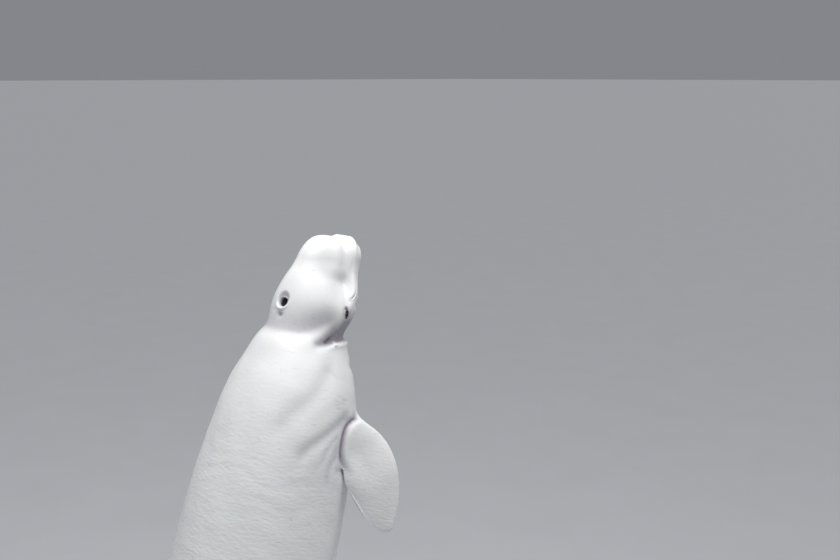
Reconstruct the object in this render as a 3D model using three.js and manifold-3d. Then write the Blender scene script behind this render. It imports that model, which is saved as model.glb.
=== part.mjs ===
// A life-size adult beluga whale, risen upright in a gentle curve, on a plain display stand.
// Millimetres, +Z up. The whale's back faces -Y, its belly +Y and its right side +X.
// The origin is the middle of the underside of the stand's base, on the floor.
import * as THREE from "three";
import { mergeVertices } from "three/addons/utils/BufferGeometryUtils.js";
import Module from "manifold-3d";

const wasm = await Module();
wasm.setup();

// The whale is laid out straight first: s runs back from the tip of the beak, x to its right, d up to its back.
const LENGTH = 4400; // tip of the beak to the notch between the flukes
const GAP = 0.3; // between two pieces that meet
const CUT_GROWTH = 0.4; // how much a skin grows along its rays to cut that gap

// How far the trunk reaches from its middle line to the back, the belly and each side, at stations along it.
const TRUNK = [
  { s: 130, back: 60, belly: 60, side: 60 },
  { s: 260, back: 146, belly: 122, side: 142 },
  { s: 400, back: 204, belly: 172, side: 198 },
  { s: 530, back: 228, belly: 204, side: 208 },
  { s: 660, back: 264, belly: 264, side: 256 },
  { s: 790, back: 302, belly: 316, side: 312 },
  { s: 950, back: 337, belly: 360, side: 352 },
  { s: 1180, back: 366, belly: 388, side: 380 },
  { s: 1480, back: 388, belly: 406, side: 404 },
  { s: 1780, back: 396, belly: 412, side: 412 },
  { s: 2080, back: 390, belly: 400, side: 404 },
  { s: 2400, back: 360, belly: 366, side: 372 },
  { s: 2720, back: 312, belly: 312, side: 318 },
  { s: 3040, back: 256, belly: 250, side: 250 },
  { s: 3340, back: 206, belly: 194, side: 182 },
  { s: 3620, back: 162, belly: 144, side: 124 },
  { s: 3850, back: 128, belly: 106, side: 84 },
  { s: 4040, back: 96, belly: 76, side: 62 },
  { s: 4180, back: 66, belly: 52, side: 50 },
  { s: 4290, back: 36, belly: 30, side: 34 },
];
const TRUNK_SQUARENESS = 2.15; // 2 is an ellipse, more is fuller at the corners
const TRUNK_EASE = 60; // how far from the middle the back's reach turns into the belly's

// Rounded masses of the head: the middle of each, its half sizes, and how far it is drawn out along s and x.
const MELON = { s: 262, d: 48, long: 182, wide: 88, high: 116, run: 46, spread: 24 };
const UPPER_JAW = { s: 200, d: -72, long: 84, wide: 84, high: 43, run: 116, spread: 54 };
const LOWER_JAW = { s: 220, d: -108, long: 84, wide: 78, high: 48, run: 120, spread: 44 };
const CHEEK = { s: 335, d: -76, long: 125, wide: 96, high: 80, run: 0, spread: 66 };
const MELON_BLEND = 40;
const JAW_BLEND = 30;
const CHEEK_BLEND = 90;
const HEAD_BLEND = 120;
const HEAD_MASSES_END = 900;

// The hollow between the melon and the upper lip, along each side of the beak.
const LIP_FOLD = { d: -22, deep: 30, wide: 36, from: 330, to: 190 };

// Where the rays that find the skin start, and how they rise to the middle line behind the head.
const HEAD_HEART = { s: 200, d: -55 };
const HEART_RISE = { from: 200, to: 520 };
const LONGEST_RAY = 700;

// The lean of the middle line from upright, at the beak and past each bend.
const LEANS = [
  { s: 0, lean: 20 },
  { s: 500, lean: 20 },
  { s: 1200, lean: 18 },
  { s: 2400, lean: 22 },
  { s: 3400, lean: 34 },
  { s: 4400, lean: 50 },
];
const BEAK_TIP = { y: 860, z: 4120 };
const SPINE_STEP = 10;

// Where the body is parted, and how finely each length is faceted.
const HEAD_END = 560;
const LENGTHS = [
  { name: "neck", to: 880, rings: 5 },
  { name: "chest", to: 1500, rings: 8 },
  { name: "abdomen", to: 2500, rings: 12 },
  { name: "loin", to: 3400, rings: 11 },
  { name: "tail_stock", to: 4290, rings: 12 },
];
const HEAD_COLUMNS = 60;
const TRUNK_COLUMNS = 44;
const DOME_RINGS = 16;
const HEAD_RING_STEP = 24;

// The line of the mouth, from in front of the beak to its corners, and the jaw's rear edge below them.
const MOUTH = [
  { s: -80, d: -88 },
  { s: 170, d: -88 },
  { s: 240, d: -85 },
  { s: 282, d: -76 },
  { s: 300, d: -66 },
];
const JAW_REAR = { s: 338, d: -330 };
const MOUTH_OPENING = 7;
const MOUTH_DEPTH = 9;
const LIP = { radius: 10, sunk: 5 };

// The eyes, each in almond-shaped lids.
const EYE = { s: 394, d: -56, radius: 17, sunk: 10 };
const LIDS = { long: 17, high: 10.5, thick: 5.5 };

// The blowhole on top of the head: a pit, the plug that closes its front, its rear lip and the fold behind it.
const BLOWHOLE = { s: 412, long: 24, wide: 32, deep: 24 };
const PLUG = { ahead: 9, long: 17, wide: 25, deep: 19, sunk: 17 };
const REAR_LIP = { radius: 6, reach: 33, turn: 75 };
const NAPE_DIMPLE = { behind: 62, long: 9, wide: 20, deep: 9 };

// Flippers: the root's middle on the chest, the way the blade points, and its outline along the span.
const FLIPPER = {
  s: 1030, below: 27, span: 545, curl: 34,
  out: { s: 0.64, x: 0.26, d: -0.72 },
  chord: { s: 0.84, x: -0.05, d: 0.46 },
};
const FLIPPER_OUTLINE = [
  { t: -0.3, lead: -132, trail: 118, thick: 66 },
  { t: 0, lead: -150, trail: 124, thick: 62 },
  { t: 0.2, lead: -170, trail: 142, thick: 50 },
  { t: 0.4, lead: -160, trail: 158, thick: 40 },
  { t: 0.6, lead: -118, trail: 168, thick: 32 },
  { t: 0.78, lead: -54, trail: 164, thick: 25 },
  { t: 0.9, lead: 10, trail: 146, thick: 19 },
  { t: 0.97, lead: 60, trail: 124, thick: 14 },
  { t: 1, lead: 84, trail: 102, thick: 8 },
];

// Flukes: the front and rear edges and the thickness, at stations out from the middle.
const FLUKES = [
  { x: 0.2, lead: 4056, trail: 4398, thick: 46 },
  { x: 40, lead: 4070, trail: 4436, thick: 44 },
  { x: 95, lead: 4096, trail: 4458, thick: 38 },
  { x: 165, lead: 4134, trail: 4464, thick: 31 },
  { x: 245, lead: 4186, trail: 4458, thick: 25 },
  { x: 325, lead: 4246, trail: 4450, thick: 20 },
  { x: 400, lead: 4312, trail: 4446, thick: 16 },
  { x: 452, lead: 4372, trail: 4446, thick: 12 },
  { x: 484, lead: 4424, trail: 4444, thick: 7 },
];
const FLUKES_D = 4;

// The low ridge along the back, notched along its top.
const RIDGE = { from: 2180, to: 2900, high: 19, wide: 26, sunk: 30, rings: 37, notches: 9, notch: 0.28 };

// The stand: a base plate and two round rods with feet. A rod meets the belly where the middle line is at s.
const BASE = { wide: 1300, long: 2240, high: 60, bevel: 8 };
const RODS = [
  { name: "stand_rod_front", s: 2820, radius: 38, foot: 92 },
  { name: "stand_rod_rear", s: 3640, radius: 34, foot: 84 },
];
const ROD_FOOT_HEIGHT = 14;
const ROD_SIDES = 28;
const ROD_REACH = 90; // into the belly, before the whale's skin cuts it off

// A smooth curve through values given at rising stations: a natural cubic spline.
function throughStations(at, value) {
  const n = at.length;
  const bend = new Array(n).fill(0);
  const upper = new Array(n).fill(0);
  for (let i = 1; i < n - 1; i++) {
    const before = at[i] - at[i - 1];
    const after = at[i + 1] - at[i];
    const pivot = 2 * (before + after) - before * upper[i - 1];
    const turn = 6 * ((value[i + 1] - value[i]) / after - (value[i] - value[i - 1]) / before);
    upper[i] = after / pivot;
    bend[i] = (turn - before * bend[i - 1]) / pivot;
  }
  for (let i = n - 2; i > 0; i--) bend[i] -= upper[i] * bend[i + 1];
  return (x) => {
    let i = 0;
    while (i < n - 2 && x > at[i + 1]) i++;
    const h = at[i + 1] - at[i];
    const t = THREE.MathUtils.clamp((x - at[i]) / h, 0, 1);
    const r = 1 - t;
    return r * value[i] + t * value[i + 1] - (h * h * r * t * ((1 + r) * bend[i] + (1 + t) * bend[i + 1])) / 6;
  };
}

// The spline of one column of a table, over another.
function columnOver(table, over, column) {
  return throughStations(table.map((row) => row[over]), table.map((row) => row[column]));
}

const trunkBack = columnOver(TRUNK, "s", "back");
const trunkBelly = columnOver(TRUNK, "s", "belly");
const trunkSide = columnOver(TRUNK, "s", "side");
const mouthAt = columnOver(MOUTH, "s", "d");

// Distances to surfaces, in millimetres and nearly true close to them: negative inside.
function trunkDistance(s, x, d) {
  const upward = THREE.MathUtils.smoothstep(d, -TRUNK_EASE, TRUNK_EASE);
  const reach = THREE.MathUtils.lerp(trunkBelly(s), trunkBack(s), upward);
  const side = trunkSide(s);
  const ratio = Math.pow(
    Math.pow(Math.abs(x) / side, TRUNK_SQUARENESS) + Math.pow(Math.abs(d) / reach, TRUNK_SQUARENESS),
    1 / TRUNK_SQUARENESS,
  );
  const across = (ratio - 1) * Math.min(side, reach);
  return Math.max(across, TRUNK[0].s - s);
}

function massDistance(mass, s, x, d) {
  const u = [
    Math.max(Math.abs(s - mass.s) - mass.run, 0),
    Math.max(Math.abs(x) - mass.spread, 0),
    d - mass.d,
  ];
  const size = [mass.long, mass.wide, mass.high];
  const near = Math.hypot(u[0] / size[0], u[1] / size[1], u[2] / size[2]);
  const slope = Math.hypot(u[0] / size[0] ** 2, u[1] / size[1] ** 2, u[2] / size[2] ** 2);
  return slope < 1e-9 ? -Math.min(...size) : (near * (near - 1)) / slope;
}

function blend(a, b, width) {
  const share = Math.max(width - Math.abs(a - b), 0) / width;
  return Math.min(a, b) - (share * share * width) / 4;
}

function whaleDistance(s, x, d) {
  const trunk = trunkDistance(s, x, d);
  if (s > HEAD_MASSES_END) return trunk;
  const jaws = blend(massDistance(UPPER_JAW, s, x, d), massDistance(LOWER_JAW, s, x, d), JAW_BLEND);
  const face = blend(massDistance(MELON, s, x, d), jaws, MELON_BLEND);
  const cheeks = blend(face, massDistance(CHEEK, s, x, d), CHEEK_BLEND);
  const off = (d - LIP_FOLD.d) / LIP_FOLD.wide;
  const fading = 1 - THREE.MathUtils.smoothstep(s, LIP_FOLD.to, LIP_FOLD.from);
  return blend(trunk, cheeks, HEAD_BLEND) + LIP_FOLD.deep * Math.exp(-off * off) * fading;
}

// The distance along a ray from inside the whale to its skin, by halving.
function reachOfRay(from, along) {
  let low = 0;
  let high = LONGEST_RAY;
  for (let i = 0; i < 26; i++) {
    const t = (low + high) / 2;
    if (whaleDistance(from.s + along.s * t, along.x * t, from.d + along.d * t) < 0) low = t;
    else high = t;
  }
  return low;
}

// A point of the straight whale set in its pose.
const leanAt = throughStations(LEANS.map((row) => row.s), LEANS.map((row) => THREE.MathUtils.degToRad(row.lean)));
const spine = [BEAK_TIP];
for (let s = SPINE_STEP; s <= LENGTH + 200; s += SPINE_STEP) {
  const lean = leanAt(s - SPINE_STEP / 2);
  const last = spine[spine.length - 1];
  spine.push({ y: last.y - SPINE_STEP * Math.sin(lean), z: last.z - SPINE_STEP * Math.cos(lean) });
}

function posed([s, x, d]) {
  const place = THREE.MathUtils.clamp(s / SPINE_STEP, 0, spine.length - 1.001);
  const i = Math.floor(place);
  const share = place - i;
  const lean = leanAt(s);
  const ahead = s < 0 ? -s : 0;
  const y = THREE.MathUtils.lerp(spine[i].y, spine[i + 1].y, share) + ahead * Math.sin(lean);
  const z = THREE.MathUtils.lerp(spine[i].z, spine[i + 1].z, share) + ahead * Math.cos(lean);
  return [x, y - d * Math.cos(lean), z + d * Math.sin(lean)];
}

// Solids and meshes.
function solidOf(points, faces) {
  const mesh = new wasm.Mesh({
    numProp: 3,
    vertProperties: new Float32Array(points.flat()),
    triVerts: new Uint32Array(faces.flat()),
  });
  return new wasm.Manifold(mesh);
}

function solidOfGeometry(geometry) {
  geometry.deleteAttribute("normal");
  geometry.deleteAttribute("uv");
  const merged = mergeVertices(geometry, 1e-4);
  return new wasm.Manifold(
    new wasm.Mesh({
      numProp: 3,
      vertProperties: new Float32Array(merged.attributes.position.array),
      triVerts: new Uint32Array(merged.index.array),
    }),
  );
}

function largestPiece(solid) {
  const pieces = solid.decompose();
  return pieces.reduce((best, piece) => (piece.volume() > best.volume() ? piece : best));
}

const museumPiece = new THREE.Group();

function addNode(name, solid, finish) {
  const { numProp, vertProperties, triVerts } = largestPiece(solid).getMesh();
  const positions = new Float32Array((vertProperties.length / numProp) * 3);
  for (let i = 0; i < positions.length / 3; i++) {
    for (let k = 0; k < 3; k++) positions[3 * i + k] = vertProperties[numProp * i + k];
  }
  const geometry = new THREE.BufferGeometry();
  geometry.setAttribute("position", new THREE.BufferAttribute(positions, 3));
  geometry.setIndex(new THREE.BufferAttribute(new Uint32Array(triVerts), 1));
  geometry.computeVertexNormals();
  const mesh = new THREE.Mesh(geometry, new THREE.MeshStandardMaterial(finish));
  mesh.name = name;
  museumPiece.add(mesh);
}

const SKIN_FINISH = { color: 0xf0efec, roughness: 0.42, metalness: 0 };
const FOLD_FINISH = { color: 0xd9d6d8, roughness: 0.45, metalness: 0 };
const EYE_FINISH = { color: 0x15110f, roughness: 0.08, metalness: 0 };
const BASE_FINISH = { color: 0x3a3d40, roughness: 0.55, metalness: 0 };
const ROD_FINISH = { color: 0x9b9da0, roughness: 0.35, metalness: 1 };

// Skin points of one ring, round from the back over the right side to the belly and up the left side.
function heartAt(s) {
  return HEAD_HEART.d * (1 - THREE.MathUtils.smoothstep(s, HEART_RISE.from, HEART_RISE.to));
}

function ringOfRays(from, columns, grow, directionAt) {
  const ring = [];
  for (let i = 0; i < columns; i++) {
    const along = directionAt((i / columns) * 2 * Math.PI);
    const t = reachOfRay(from, along) + grow;
    ring.push([from.s + along.s * t, along.x * t, from.d + along.d * t]);
  }
  return ring;
}

function ringAt(s, columns, grow) {
  const from = { s, d: heartAt(s) };
  return ringOfRays(from, columns, grow, (turn) => ({ s: 0, x: Math.sin(turn), d: Math.cos(turn) }));
}

function domeRing(angle, columns, grow) {
  const out = Math.sin(angle);
  return ringOfRays(HEAD_HEART, columns, grow, (turn) => ({
    s: -Math.cos(angle),
    x: out * Math.sin(turn),
    d: out * Math.cos(turn),
  }));
}

// A closed solid through rings of the same count, all turning the same way, with a point at each end.
function throughRings(rings, first, last) {
  const points = rings.flat();
  const faces = [];
  const columns = rings[0].length;
  for (let r = 0; r + 1 < rings.length; r++) {
    for (let i = 0; i < columns; i++) {
      const j = (i + 1) % columns;
      const a = r * columns + i;
      const b = r * columns + j;
      const c = a + columns;
      const e = b + columns;
      faces.push([a, e, b], [a, c, e]);
    }
  }
  const start = points.push(first) - 1;
  const end = points.push(last) - 1;
  const tail = (rings.length - 1) * columns;
  for (let i = 0; i < columns; i++) {
    const j = (i + 1) % columns;
    faces.push([start, i, j], [end, tail + j, tail + i]);
  }
  const solid = solidOf(points.map(posed), faces);
  return solid.volume() > 0 ? solid : solidOf(points.map(posed), faces.map(([a, b, c]) => [a, c, b]));
}

// The head's skin, pushed out or in by grow.
function headSolid(grow, end) {
  const rings = [];
  for (let i = 1; i <= DOME_RINGS; i++) rings.push(domeRing(((i / DOME_RINGS) * Math.PI) / 2, HEAD_COLUMNS, grow));
  for (let s = HEAD_HEART.s + HEAD_RING_STEP; s < end - 5; s += HEAD_RING_STEP) {
    rings.push(ringAt(s, HEAD_COLUMNS, grow));
  }
  rings.push(ringAt(end, HEAD_COLUMNS, grow));
  const tip = HEAD_HEART.s - reachOfRay(HEAD_HEART, { s: -1, x: 0, d: 0 }) - grow;
  return throughRings(rings, [tip, 0, HEAD_HEART.d], [end, 0, heartAt(end)]);
}

// The stations of one length of the trunk, and a closed solid with flat ends through any list of them.
function stationsOf(name) {
  const i = LENGTHS.findIndex((row) => row.name === name);
  const from = (i === 0 ? HEAD_END : LENGTHS[i - 1].to) + GAP / 2;
  const to = LENGTHS[i].to - GAP / 2;
  const count = LENGTHS[i].rings;
  return Array.from({ length: count }, (_, k) => THREE.MathUtils.lerp(from, to, k / (count - 1)));
}

function trunkSolid(stations, grow) {
  const rings = stations.map((s) => ringAt(s, TRUNK_COLUMNS, grow));
  const [from, to] = [stations[0], stations[stations.length - 1]];
  return throughRings(rings, [from, 0, heartAt(from)], [to, 0, heartAt(to)]);
}

// The same lengths in one grown piece, to cut what meets the trunk.
function trunkCutter(...names) {
  return trunkSolid(names.flatMap(stationsOf), CUT_GROWTH);
}

// A rounded lump or pit with its own half sizes.
function lump(at, half, rows = 8, columns = 16) {
  const rings = [];
  for (let r = 1; r < rows; r++) {
    const angle = (r / rows) * Math.PI;
    const ring = [];
    for (let i = 0; i < columns; i++) {
      const turn = (i / columns) * 2 * Math.PI;
      const out = Math.sin(angle);
      ring.push([
        at.s - half.s * Math.cos(angle),
        at.x + half.x * out * Math.sin(turn),
        at.d + half.d * out * Math.cos(turn),
      ]);
    }
    rings.push(ring);
  }
  return throughRings(rings, [at.s - half.s, at.x, at.d], [at.s + half.s, at.x, at.d]);
}

// A round bar through points of the straight whale, set in its pose.
function bar(points, radius, closed = false, sides = 8, steps = points.length) {
  const path = new THREE.CatmullRomCurve3(points.map((p) => new THREE.Vector3(...posed(p))), closed);
  const section = new THREE.Shape();
  for (let i = 0; i < sides; i++) {
    const turn = (i / sides) * 2 * Math.PI;
    if (i === 0) section.moveTo(radius, 0);
    else section.lineTo(radius * Math.cos(turn), radius * Math.sin(turn));
  }
  section.closePath();
  return solidOfGeometry(new THREE.ExtrudeGeometry(section, { steps, bevelEnabled: false, extrudePath: path }));
}

// A wall across the whole head with the outline given in s and d.
function wallAcross(outline) {
  const half = 330;
  const shape = new THREE.Shape(outline.map(({ s, d }) => new THREE.Vector2(s, d)));
  const geometry = new THREE.ExtrudeGeometry(shape, { depth: 2 * half, bevelEnabled: false, steps: 1 });
  const at = geometry.attributes.position;
  for (let i = 0; i < at.count; i++) at.setXYZ(i, ...posed([at.getX(i), half - at.getZ(i), at.getY(i)]));
  const solid = solidOfGeometry(geometry);
  if (solid.volume() > 0) return solid;
  geometry.setIndex([...Array(at.count).keys()].reverse());
  return solidOfGeometry(geometry);
}

// The mouth: its line up to a station, moved up or down, and the points that it passes on the skin.
function mouthLine(to, shift) {
  const bends = [MOUTH[0].s, 160, 205, 245, 275].map((s) => ({ s, d: mouthAt(s) + shift }));
  return [...bends, { s: to, d: mouthAt(to) + shift }];
}

function mouthOnSkin() {
  const front = 120;
  const corner = MOUTH[MOUTH.length - 1].s;
  const right = [];
  for (let i = 0; i <= 7; i++) {
    const turn = (i / 7) * (Math.PI / 2);
    const along = { s: -Math.cos(turn), x: Math.sin(turn), d: 0 };
    const from = { s: front, d: mouthAt(front) };
    const t = reachOfRay(from, along) - LIP.sunk;
    right.push([front + along.s * t, along.x * t, from.d]);
  }
  for (let i = 1; i <= 7; i++) {
    const s = THREE.MathUtils.lerp(front, corner - 6, i / 7);
    const d = mouthAt(s);
    right.push([s, reachOfRay({ s, d }, { s: 0, x: 1, d: 0 }) - LIP.sunk, d]);
  }
  const left = right.slice(1).map(([s, x, d]) => [s, -x, d]).reverse();
  return [...left, ...right];
}

// The eyes: the middle of each, and the lids round it.
function eyeMiddle(side) {
  const reach = reachOfRay({ s: EYE.s, d: EYE.d }, { s: 0, x: 1, d: 0 });
  return { s: EYE.s, x: side * (reach - EYE.sunk), d: EYE.d };
}

function eyeball(side, radius) {
  return lump(eyeMiddle(side), { s: radius, x: radius, d: radius }, 10, 18);
}

function lids(side) {
  const loop = [];
  for (let i = 0; i < 16; i++) {
    const turn = (i / 16) * 2 * Math.PI;
    const s = EYE.s + LIDS.long * Math.cos(turn);
    const d = EYE.d + LIDS.high * Math.sin(turn);
    const reach = reachOfRay({ s, d }, { s: 0, x: 1, d: 0 });
    loop.push([s, side * (reach - 0.2 * LIDS.thick), d]);
  }
  return bar(loop, LIDS.thick, true, 7, 20);
}

// The blowhole's pieces, set on the top of the head.
function topOfHead(s) {
  const from = { s, d: heartAt(s) };
  return from.d + reachOfRay(from, { s: 0, x: 0, d: 1 });
}

function blowholePit() {
  const at = { s: BLOWHOLE.s, x: 0, d: topOfHead(BLOWHOLE.s) };
  return lump(at, { s: BLOWHOLE.long, x: BLOWHOLE.wide, d: BLOWHOLE.deep }, 10, 16);
}

function blowholePlug() {
  const at = { s: BLOWHOLE.s - PLUG.ahead, x: 0, d: topOfHead(BLOWHOLE.s) - PLUG.sunk };
  return lump(at, { s: PLUG.long, x: PLUG.wide, d: PLUG.deep }, 8, 14);
}

function blowholeLip() {
  const arc = [];
  for (let i = 0; i <= 8; i++) {
    const turn = THREE.MathUtils.degToRad(THREE.MathUtils.lerp(-REAR_LIP.turn, REAR_LIP.turn, i / 8));
    const s = BLOWHOLE.s + REAR_LIP.reach * 0.82 * Math.cos(turn);
    const x = REAR_LIP.reach * 1.1 * Math.sin(turn);
    const from = { s, d: 0 };
    const length = Math.hypot(x, topOfHead(s));
    const along = { s: 0, x: x / length, d: topOfHead(s) / length };
    const t = reachOfRay(from, along) - REAR_LIP.radius * 0.35;
    arc.push([s, along.x * t, along.d * t]);
  }
  return bar(arc, REAR_LIP.radius, false, 7, 12);
}

function napeDimple() {
  const s = BLOWHOLE.s + NAPE_DIMPLE.behind;
  const at = { s, x: 0, d: topOfHead(s) };
  return lump(at, { s: NAPE_DIMPLE.long, x: NAPE_DIMPLE.wide, d: NAPE_DIMPLE.deep }, 6, 12);
}

function addHead() {
  const whole = headSolid(0, HEAD_END - GAP / 2).add(bar(mouthOnSkin(), LIP.radius, false, 8, 30));
  const corner = MOUTH[MOUTH.length - 1].s;
  const groove = wallAcross([
    ...mouthLine(corner - 4, MOUTH_OPENING / 2),
    ...mouthLine(corner - 4, -MOUTH_OPENING / 2).reverse(),
  ]).subtract(headSolid(-MOUTH_DEPTH, HEAD_END));
  const below = (shift, rear) =>
    wallAcross([
      ...mouthLine(corner + rear, shift),
      { s: JAW_REAR.s + rear, d: JAW_REAR.d },
      { s: MOUTH[0].s, d: JAW_REAR.d },
    ]);
  const cheeks = whole.subtract(groove);
  let head = cheeks.subtract(below(GAP / 2, GAP / 2));
  for (const side of [1, -1]) head = head.add(lids(side)).subtract(eyeball(side, EYE.radius + GAP));
  head = head.add(blowholeLip()).subtract(blowholePit()).subtract(napeDimple()).add(blowholePlug());
  addNode("head", head, SKIN_FINISH);
  addNode("lower_jaw", cheeks.intersect(below(-GAP / 2, -GAP / 2)), SKIN_FINISH);
  addNode("eye_right", eyeball(1, EYE.radius), EYE_FINISH);
  addNode("eye_left", eyeball(-1, EYE.radius), EYE_FINISH);
}

function addTrunk() {
  for (const { name } of LENGTHS) addNode(name, trunkSolid(stationsOf(name), 0), SKIN_FINISH);
}

// A section of a fin: round in front and thin behind, between two edges along a chord.
function finSection(lead, trail, thick, columns) {
  const section = [];
  for (let i = 0; i < columns; i++) {
    const turn = (i / columns) * 2 * Math.PI;
    const along = (1 - Math.cos(turn)) / 2;
    const fullness = Math.sin(turn) * Math.pow(1 - along, 0.35) * 1.3;
    section.push({ along: THREE.MathUtils.lerp(lead, trail, along), up: (thick / 2) * fullness });
  }
  return section;
}

const FIN_COLUMNS = 18;

function flipperSolid(side) {
  const lead = columnOver(FLIPPER_OUTLINE, "t", "lead");
  const trail = columnOver(FLIPPER_OUTLINE, "t", "trail");
  const thick = columnOver(FLIPPER_OUTLINE, "t", "thick");
  const below = THREE.MathUtils.degToRad(FLIPPER.below);
  const outward = { s: 0, x: Math.cos(below), d: -Math.sin(below) };
  const reach = reachOfRay({ s: FLIPPER.s, d: 0 }, outward);
  const root = new THREE.Vector3(FLIPPER.s, outward.x * reach, outward.d * reach);
  const out = new THREE.Vector3(FLIPPER.out.s, FLIPPER.out.x, FLIPPER.out.d).normalize();
  const chord = new THREE.Vector3(FLIPPER.chord.s, FLIPPER.chord.x, FLIPPER.chord.d);
  chord.addScaledVector(out, -chord.dot(out)).normalize();
  const up = new THREE.Vector3().crossVectors(out, chord);
  const tables = [-0.24, -0.12, 0, 0.1, 0.2, 0.32, 0.44, 0.56, 0.67, 0.77, 0.85, 0.91, 0.955, 0.985];
  const place = (t, along, rise) => {
    const p = root.clone().addScaledVector(out, t * FLIPPER.span).addScaledVector(chord, along);
    p.addScaledVector(up, rise + FLIPPER.curl * Math.max(t, 0) ** 2);
    return [p.x, side * p.y, p.z];
  };
  const rings = tables.map((t) =>
    finSection(lead(t), trail(t), thick(t), FIN_COLUMNS).map(({ along, up: rise }) => place(t, along, rise)),
  );
  const middle = (t) => (lead(t) + trail(t)) / 2;
  return throughRings(rings, place(tables[0], middle(tables[0]), 0), place(1, middle(1), 0));
}

function flukeSolid(side) {
  const lead = columnOver(FLUKES, "x", "lead");
  const trail = columnOver(FLUKES, "x", "trail");
  const thick = columnOver(FLUKES, "x", "thick");
  const first = FLUKES[0].x;
  const tip = FLUKES[FLUKES.length - 1].x;
  const stations = [first];
  for (let i = 1; i <= 13; i++) stations.push(THREE.MathUtils.lerp(first, tip, Math.sin(((i / 13) * Math.PI) / 2)));
  const rings = stations.map((x) =>
    finSection(lead(x), trail(x), thick(x), FIN_COLUMNS).map(({ along, up }) => [along, side * x, FLUKES_D + up]),
  );
  const middle = (lead(first) + trail(first)) / 2;
  return throughRings(rings, [middle, side * first, FLUKES_D], [(lead(tip) + trail(tip)) / 2, side * (tip + 2), FLUKES_D]);
}

function addFins() {
  const chest = trunkCutter("neck", "chest");
  const tail = trunkCutter("loin", "tail_stock");
  for (const [name, side] of [["right", 1], ["left", -1]]) {
    addNode(`flipper_${name}`, flipperSolid(side).subtract(chest), SKIN_FINISH);
    addNode(`fluke_${name}`, flukeSolid(side).subtract(tail), SKIN_FINISH);
  }
}

function addRidge() {
  const rings = [];
  for (let i = 0; i < RIDGE.rings; i++) {
    const share = i / (RIDGE.rings - 1);
    const s = THREE.MathUtils.lerp(RIDGE.from, RIDGE.to, share);
    const rise = Math.pow(Math.sin(Math.PI * Math.min(share * 0.96 + 0.02, 1)), 0.6);
    const notched = 1 - RIDGE.notch * Math.abs(Math.sin(share * Math.PI * RIDGE.notches));
    const top = topOfHead(s);
    const high = 2 + RIDGE.high * rise * notched;
    const half = (RIDGE.wide / 2) * (0.35 + 0.65 * rise);
    rings.push([
      [s, 0, top + high],
      [s, half * 0.45, top + high * 0.72],
      [s, half, top - 2],
      [s, half, top - RIDGE.sunk],
      [s, -half, top - RIDGE.sunk],
      [s, -half, top - 2],
      [s, -half * 0.45, top + high * 0.72],
    ]);
  }
  const ends = [rings[0], rings[rings.length - 1]].map((ring) => [ring[0][0], 0, ring[0][2] - RIDGE.sunk / 2]);
  const back = trunkCutter("abdomen", "loin");
  addNode("dorsal_ridge", throughRings(rings, ends[0], ends[1]).subtract(back), FOLD_FINISH);
}

// The stand: a base with its upper edge taken off, and rods that rise from their feet into the belly.
function standBase() {
  const x = BASE.wide / 2 - BASE.bevel;
  const y = BASE.long / 2 - BASE.bevel;
  const outline = new THREE.Shape([
    new THREE.Vector2(-x, -y),
    new THREE.Vector2(x, -y),
    new THREE.Vector2(x, y),
    new THREE.Vector2(-x, y),
  ]);
  const geometry = new THREE.ExtrudeGeometry(outline, {
    depth: BASE.high - 2 * BASE.bevel,
    bevelThickness: BASE.bevel,
    bevelSize: BASE.bevel,
    bevelSegments: 1,
  });
  return solidOfGeometry(geometry.translate(0, 0, BASE.bevel));
}

function standRod({ s, radius, foot }) {
  const [, y, z] = posed([s, 0, -trunkBelly(s)]);
  const bottom = BASE.high + GAP;
  const profile = [
    new THREE.Vector2(0, bottom),
    new THREE.Vector2(foot, bottom),
    new THREE.Vector2(foot, bottom + ROD_FOOT_HEIGHT - 4),
    new THREE.Vector2(foot - 4, bottom + ROD_FOOT_HEIGHT),
    new THREE.Vector2(radius, bottom + ROD_FOOT_HEIGHT),
    new THREE.Vector2(radius, z + ROD_REACH),
    new THREE.Vector2(0, z + ROD_REACH),
  ];
  const geometry = new THREE.LatheGeometry(profile, ROD_SIDES).rotateX(Math.PI / 2);
  return solidOfGeometry(geometry.translate(0, y - radius * 1.2, 0));
}

function addStand() {
  addNode("stand_base", standBase(), BASE_FINISH);
  const body = trunkCutter("loin", "tail_stock");
  for (const rod of RODS) addNode(rod.name, standRod(rod).subtract(body), ROD_FINISH);
}

addHead();
addTrunk();
addFins();
addRidge();
addStand();

export default museumPiece;
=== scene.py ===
"""Looks of a life-size beluga whale on a display stand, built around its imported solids.

Lengths of the whale are millimetres in its straight frame: s runs back from the tip of the beak,
x to its right and d towards its back. posed() bends that frame into the pose, in metres.
"""

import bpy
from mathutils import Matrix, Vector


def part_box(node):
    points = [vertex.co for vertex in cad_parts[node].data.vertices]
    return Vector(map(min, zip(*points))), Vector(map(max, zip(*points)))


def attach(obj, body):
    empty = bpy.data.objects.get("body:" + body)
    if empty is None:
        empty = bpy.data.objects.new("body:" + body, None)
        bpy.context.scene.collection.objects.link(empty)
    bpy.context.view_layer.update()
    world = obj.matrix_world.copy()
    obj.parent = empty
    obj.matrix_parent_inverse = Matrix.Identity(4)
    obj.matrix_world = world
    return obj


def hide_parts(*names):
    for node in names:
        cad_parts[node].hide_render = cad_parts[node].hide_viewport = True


bl_info = {
    "name": "Beluga whale model",
    "version": (1, 0, 0),
    "blender": (4, 5, 0),
    "location": "View3D > Sidebar > Beluga",
    "description": "Builds the skin, eyes, stand and stage of a life-size beluga whale",
    "category": "Object",
}

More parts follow.
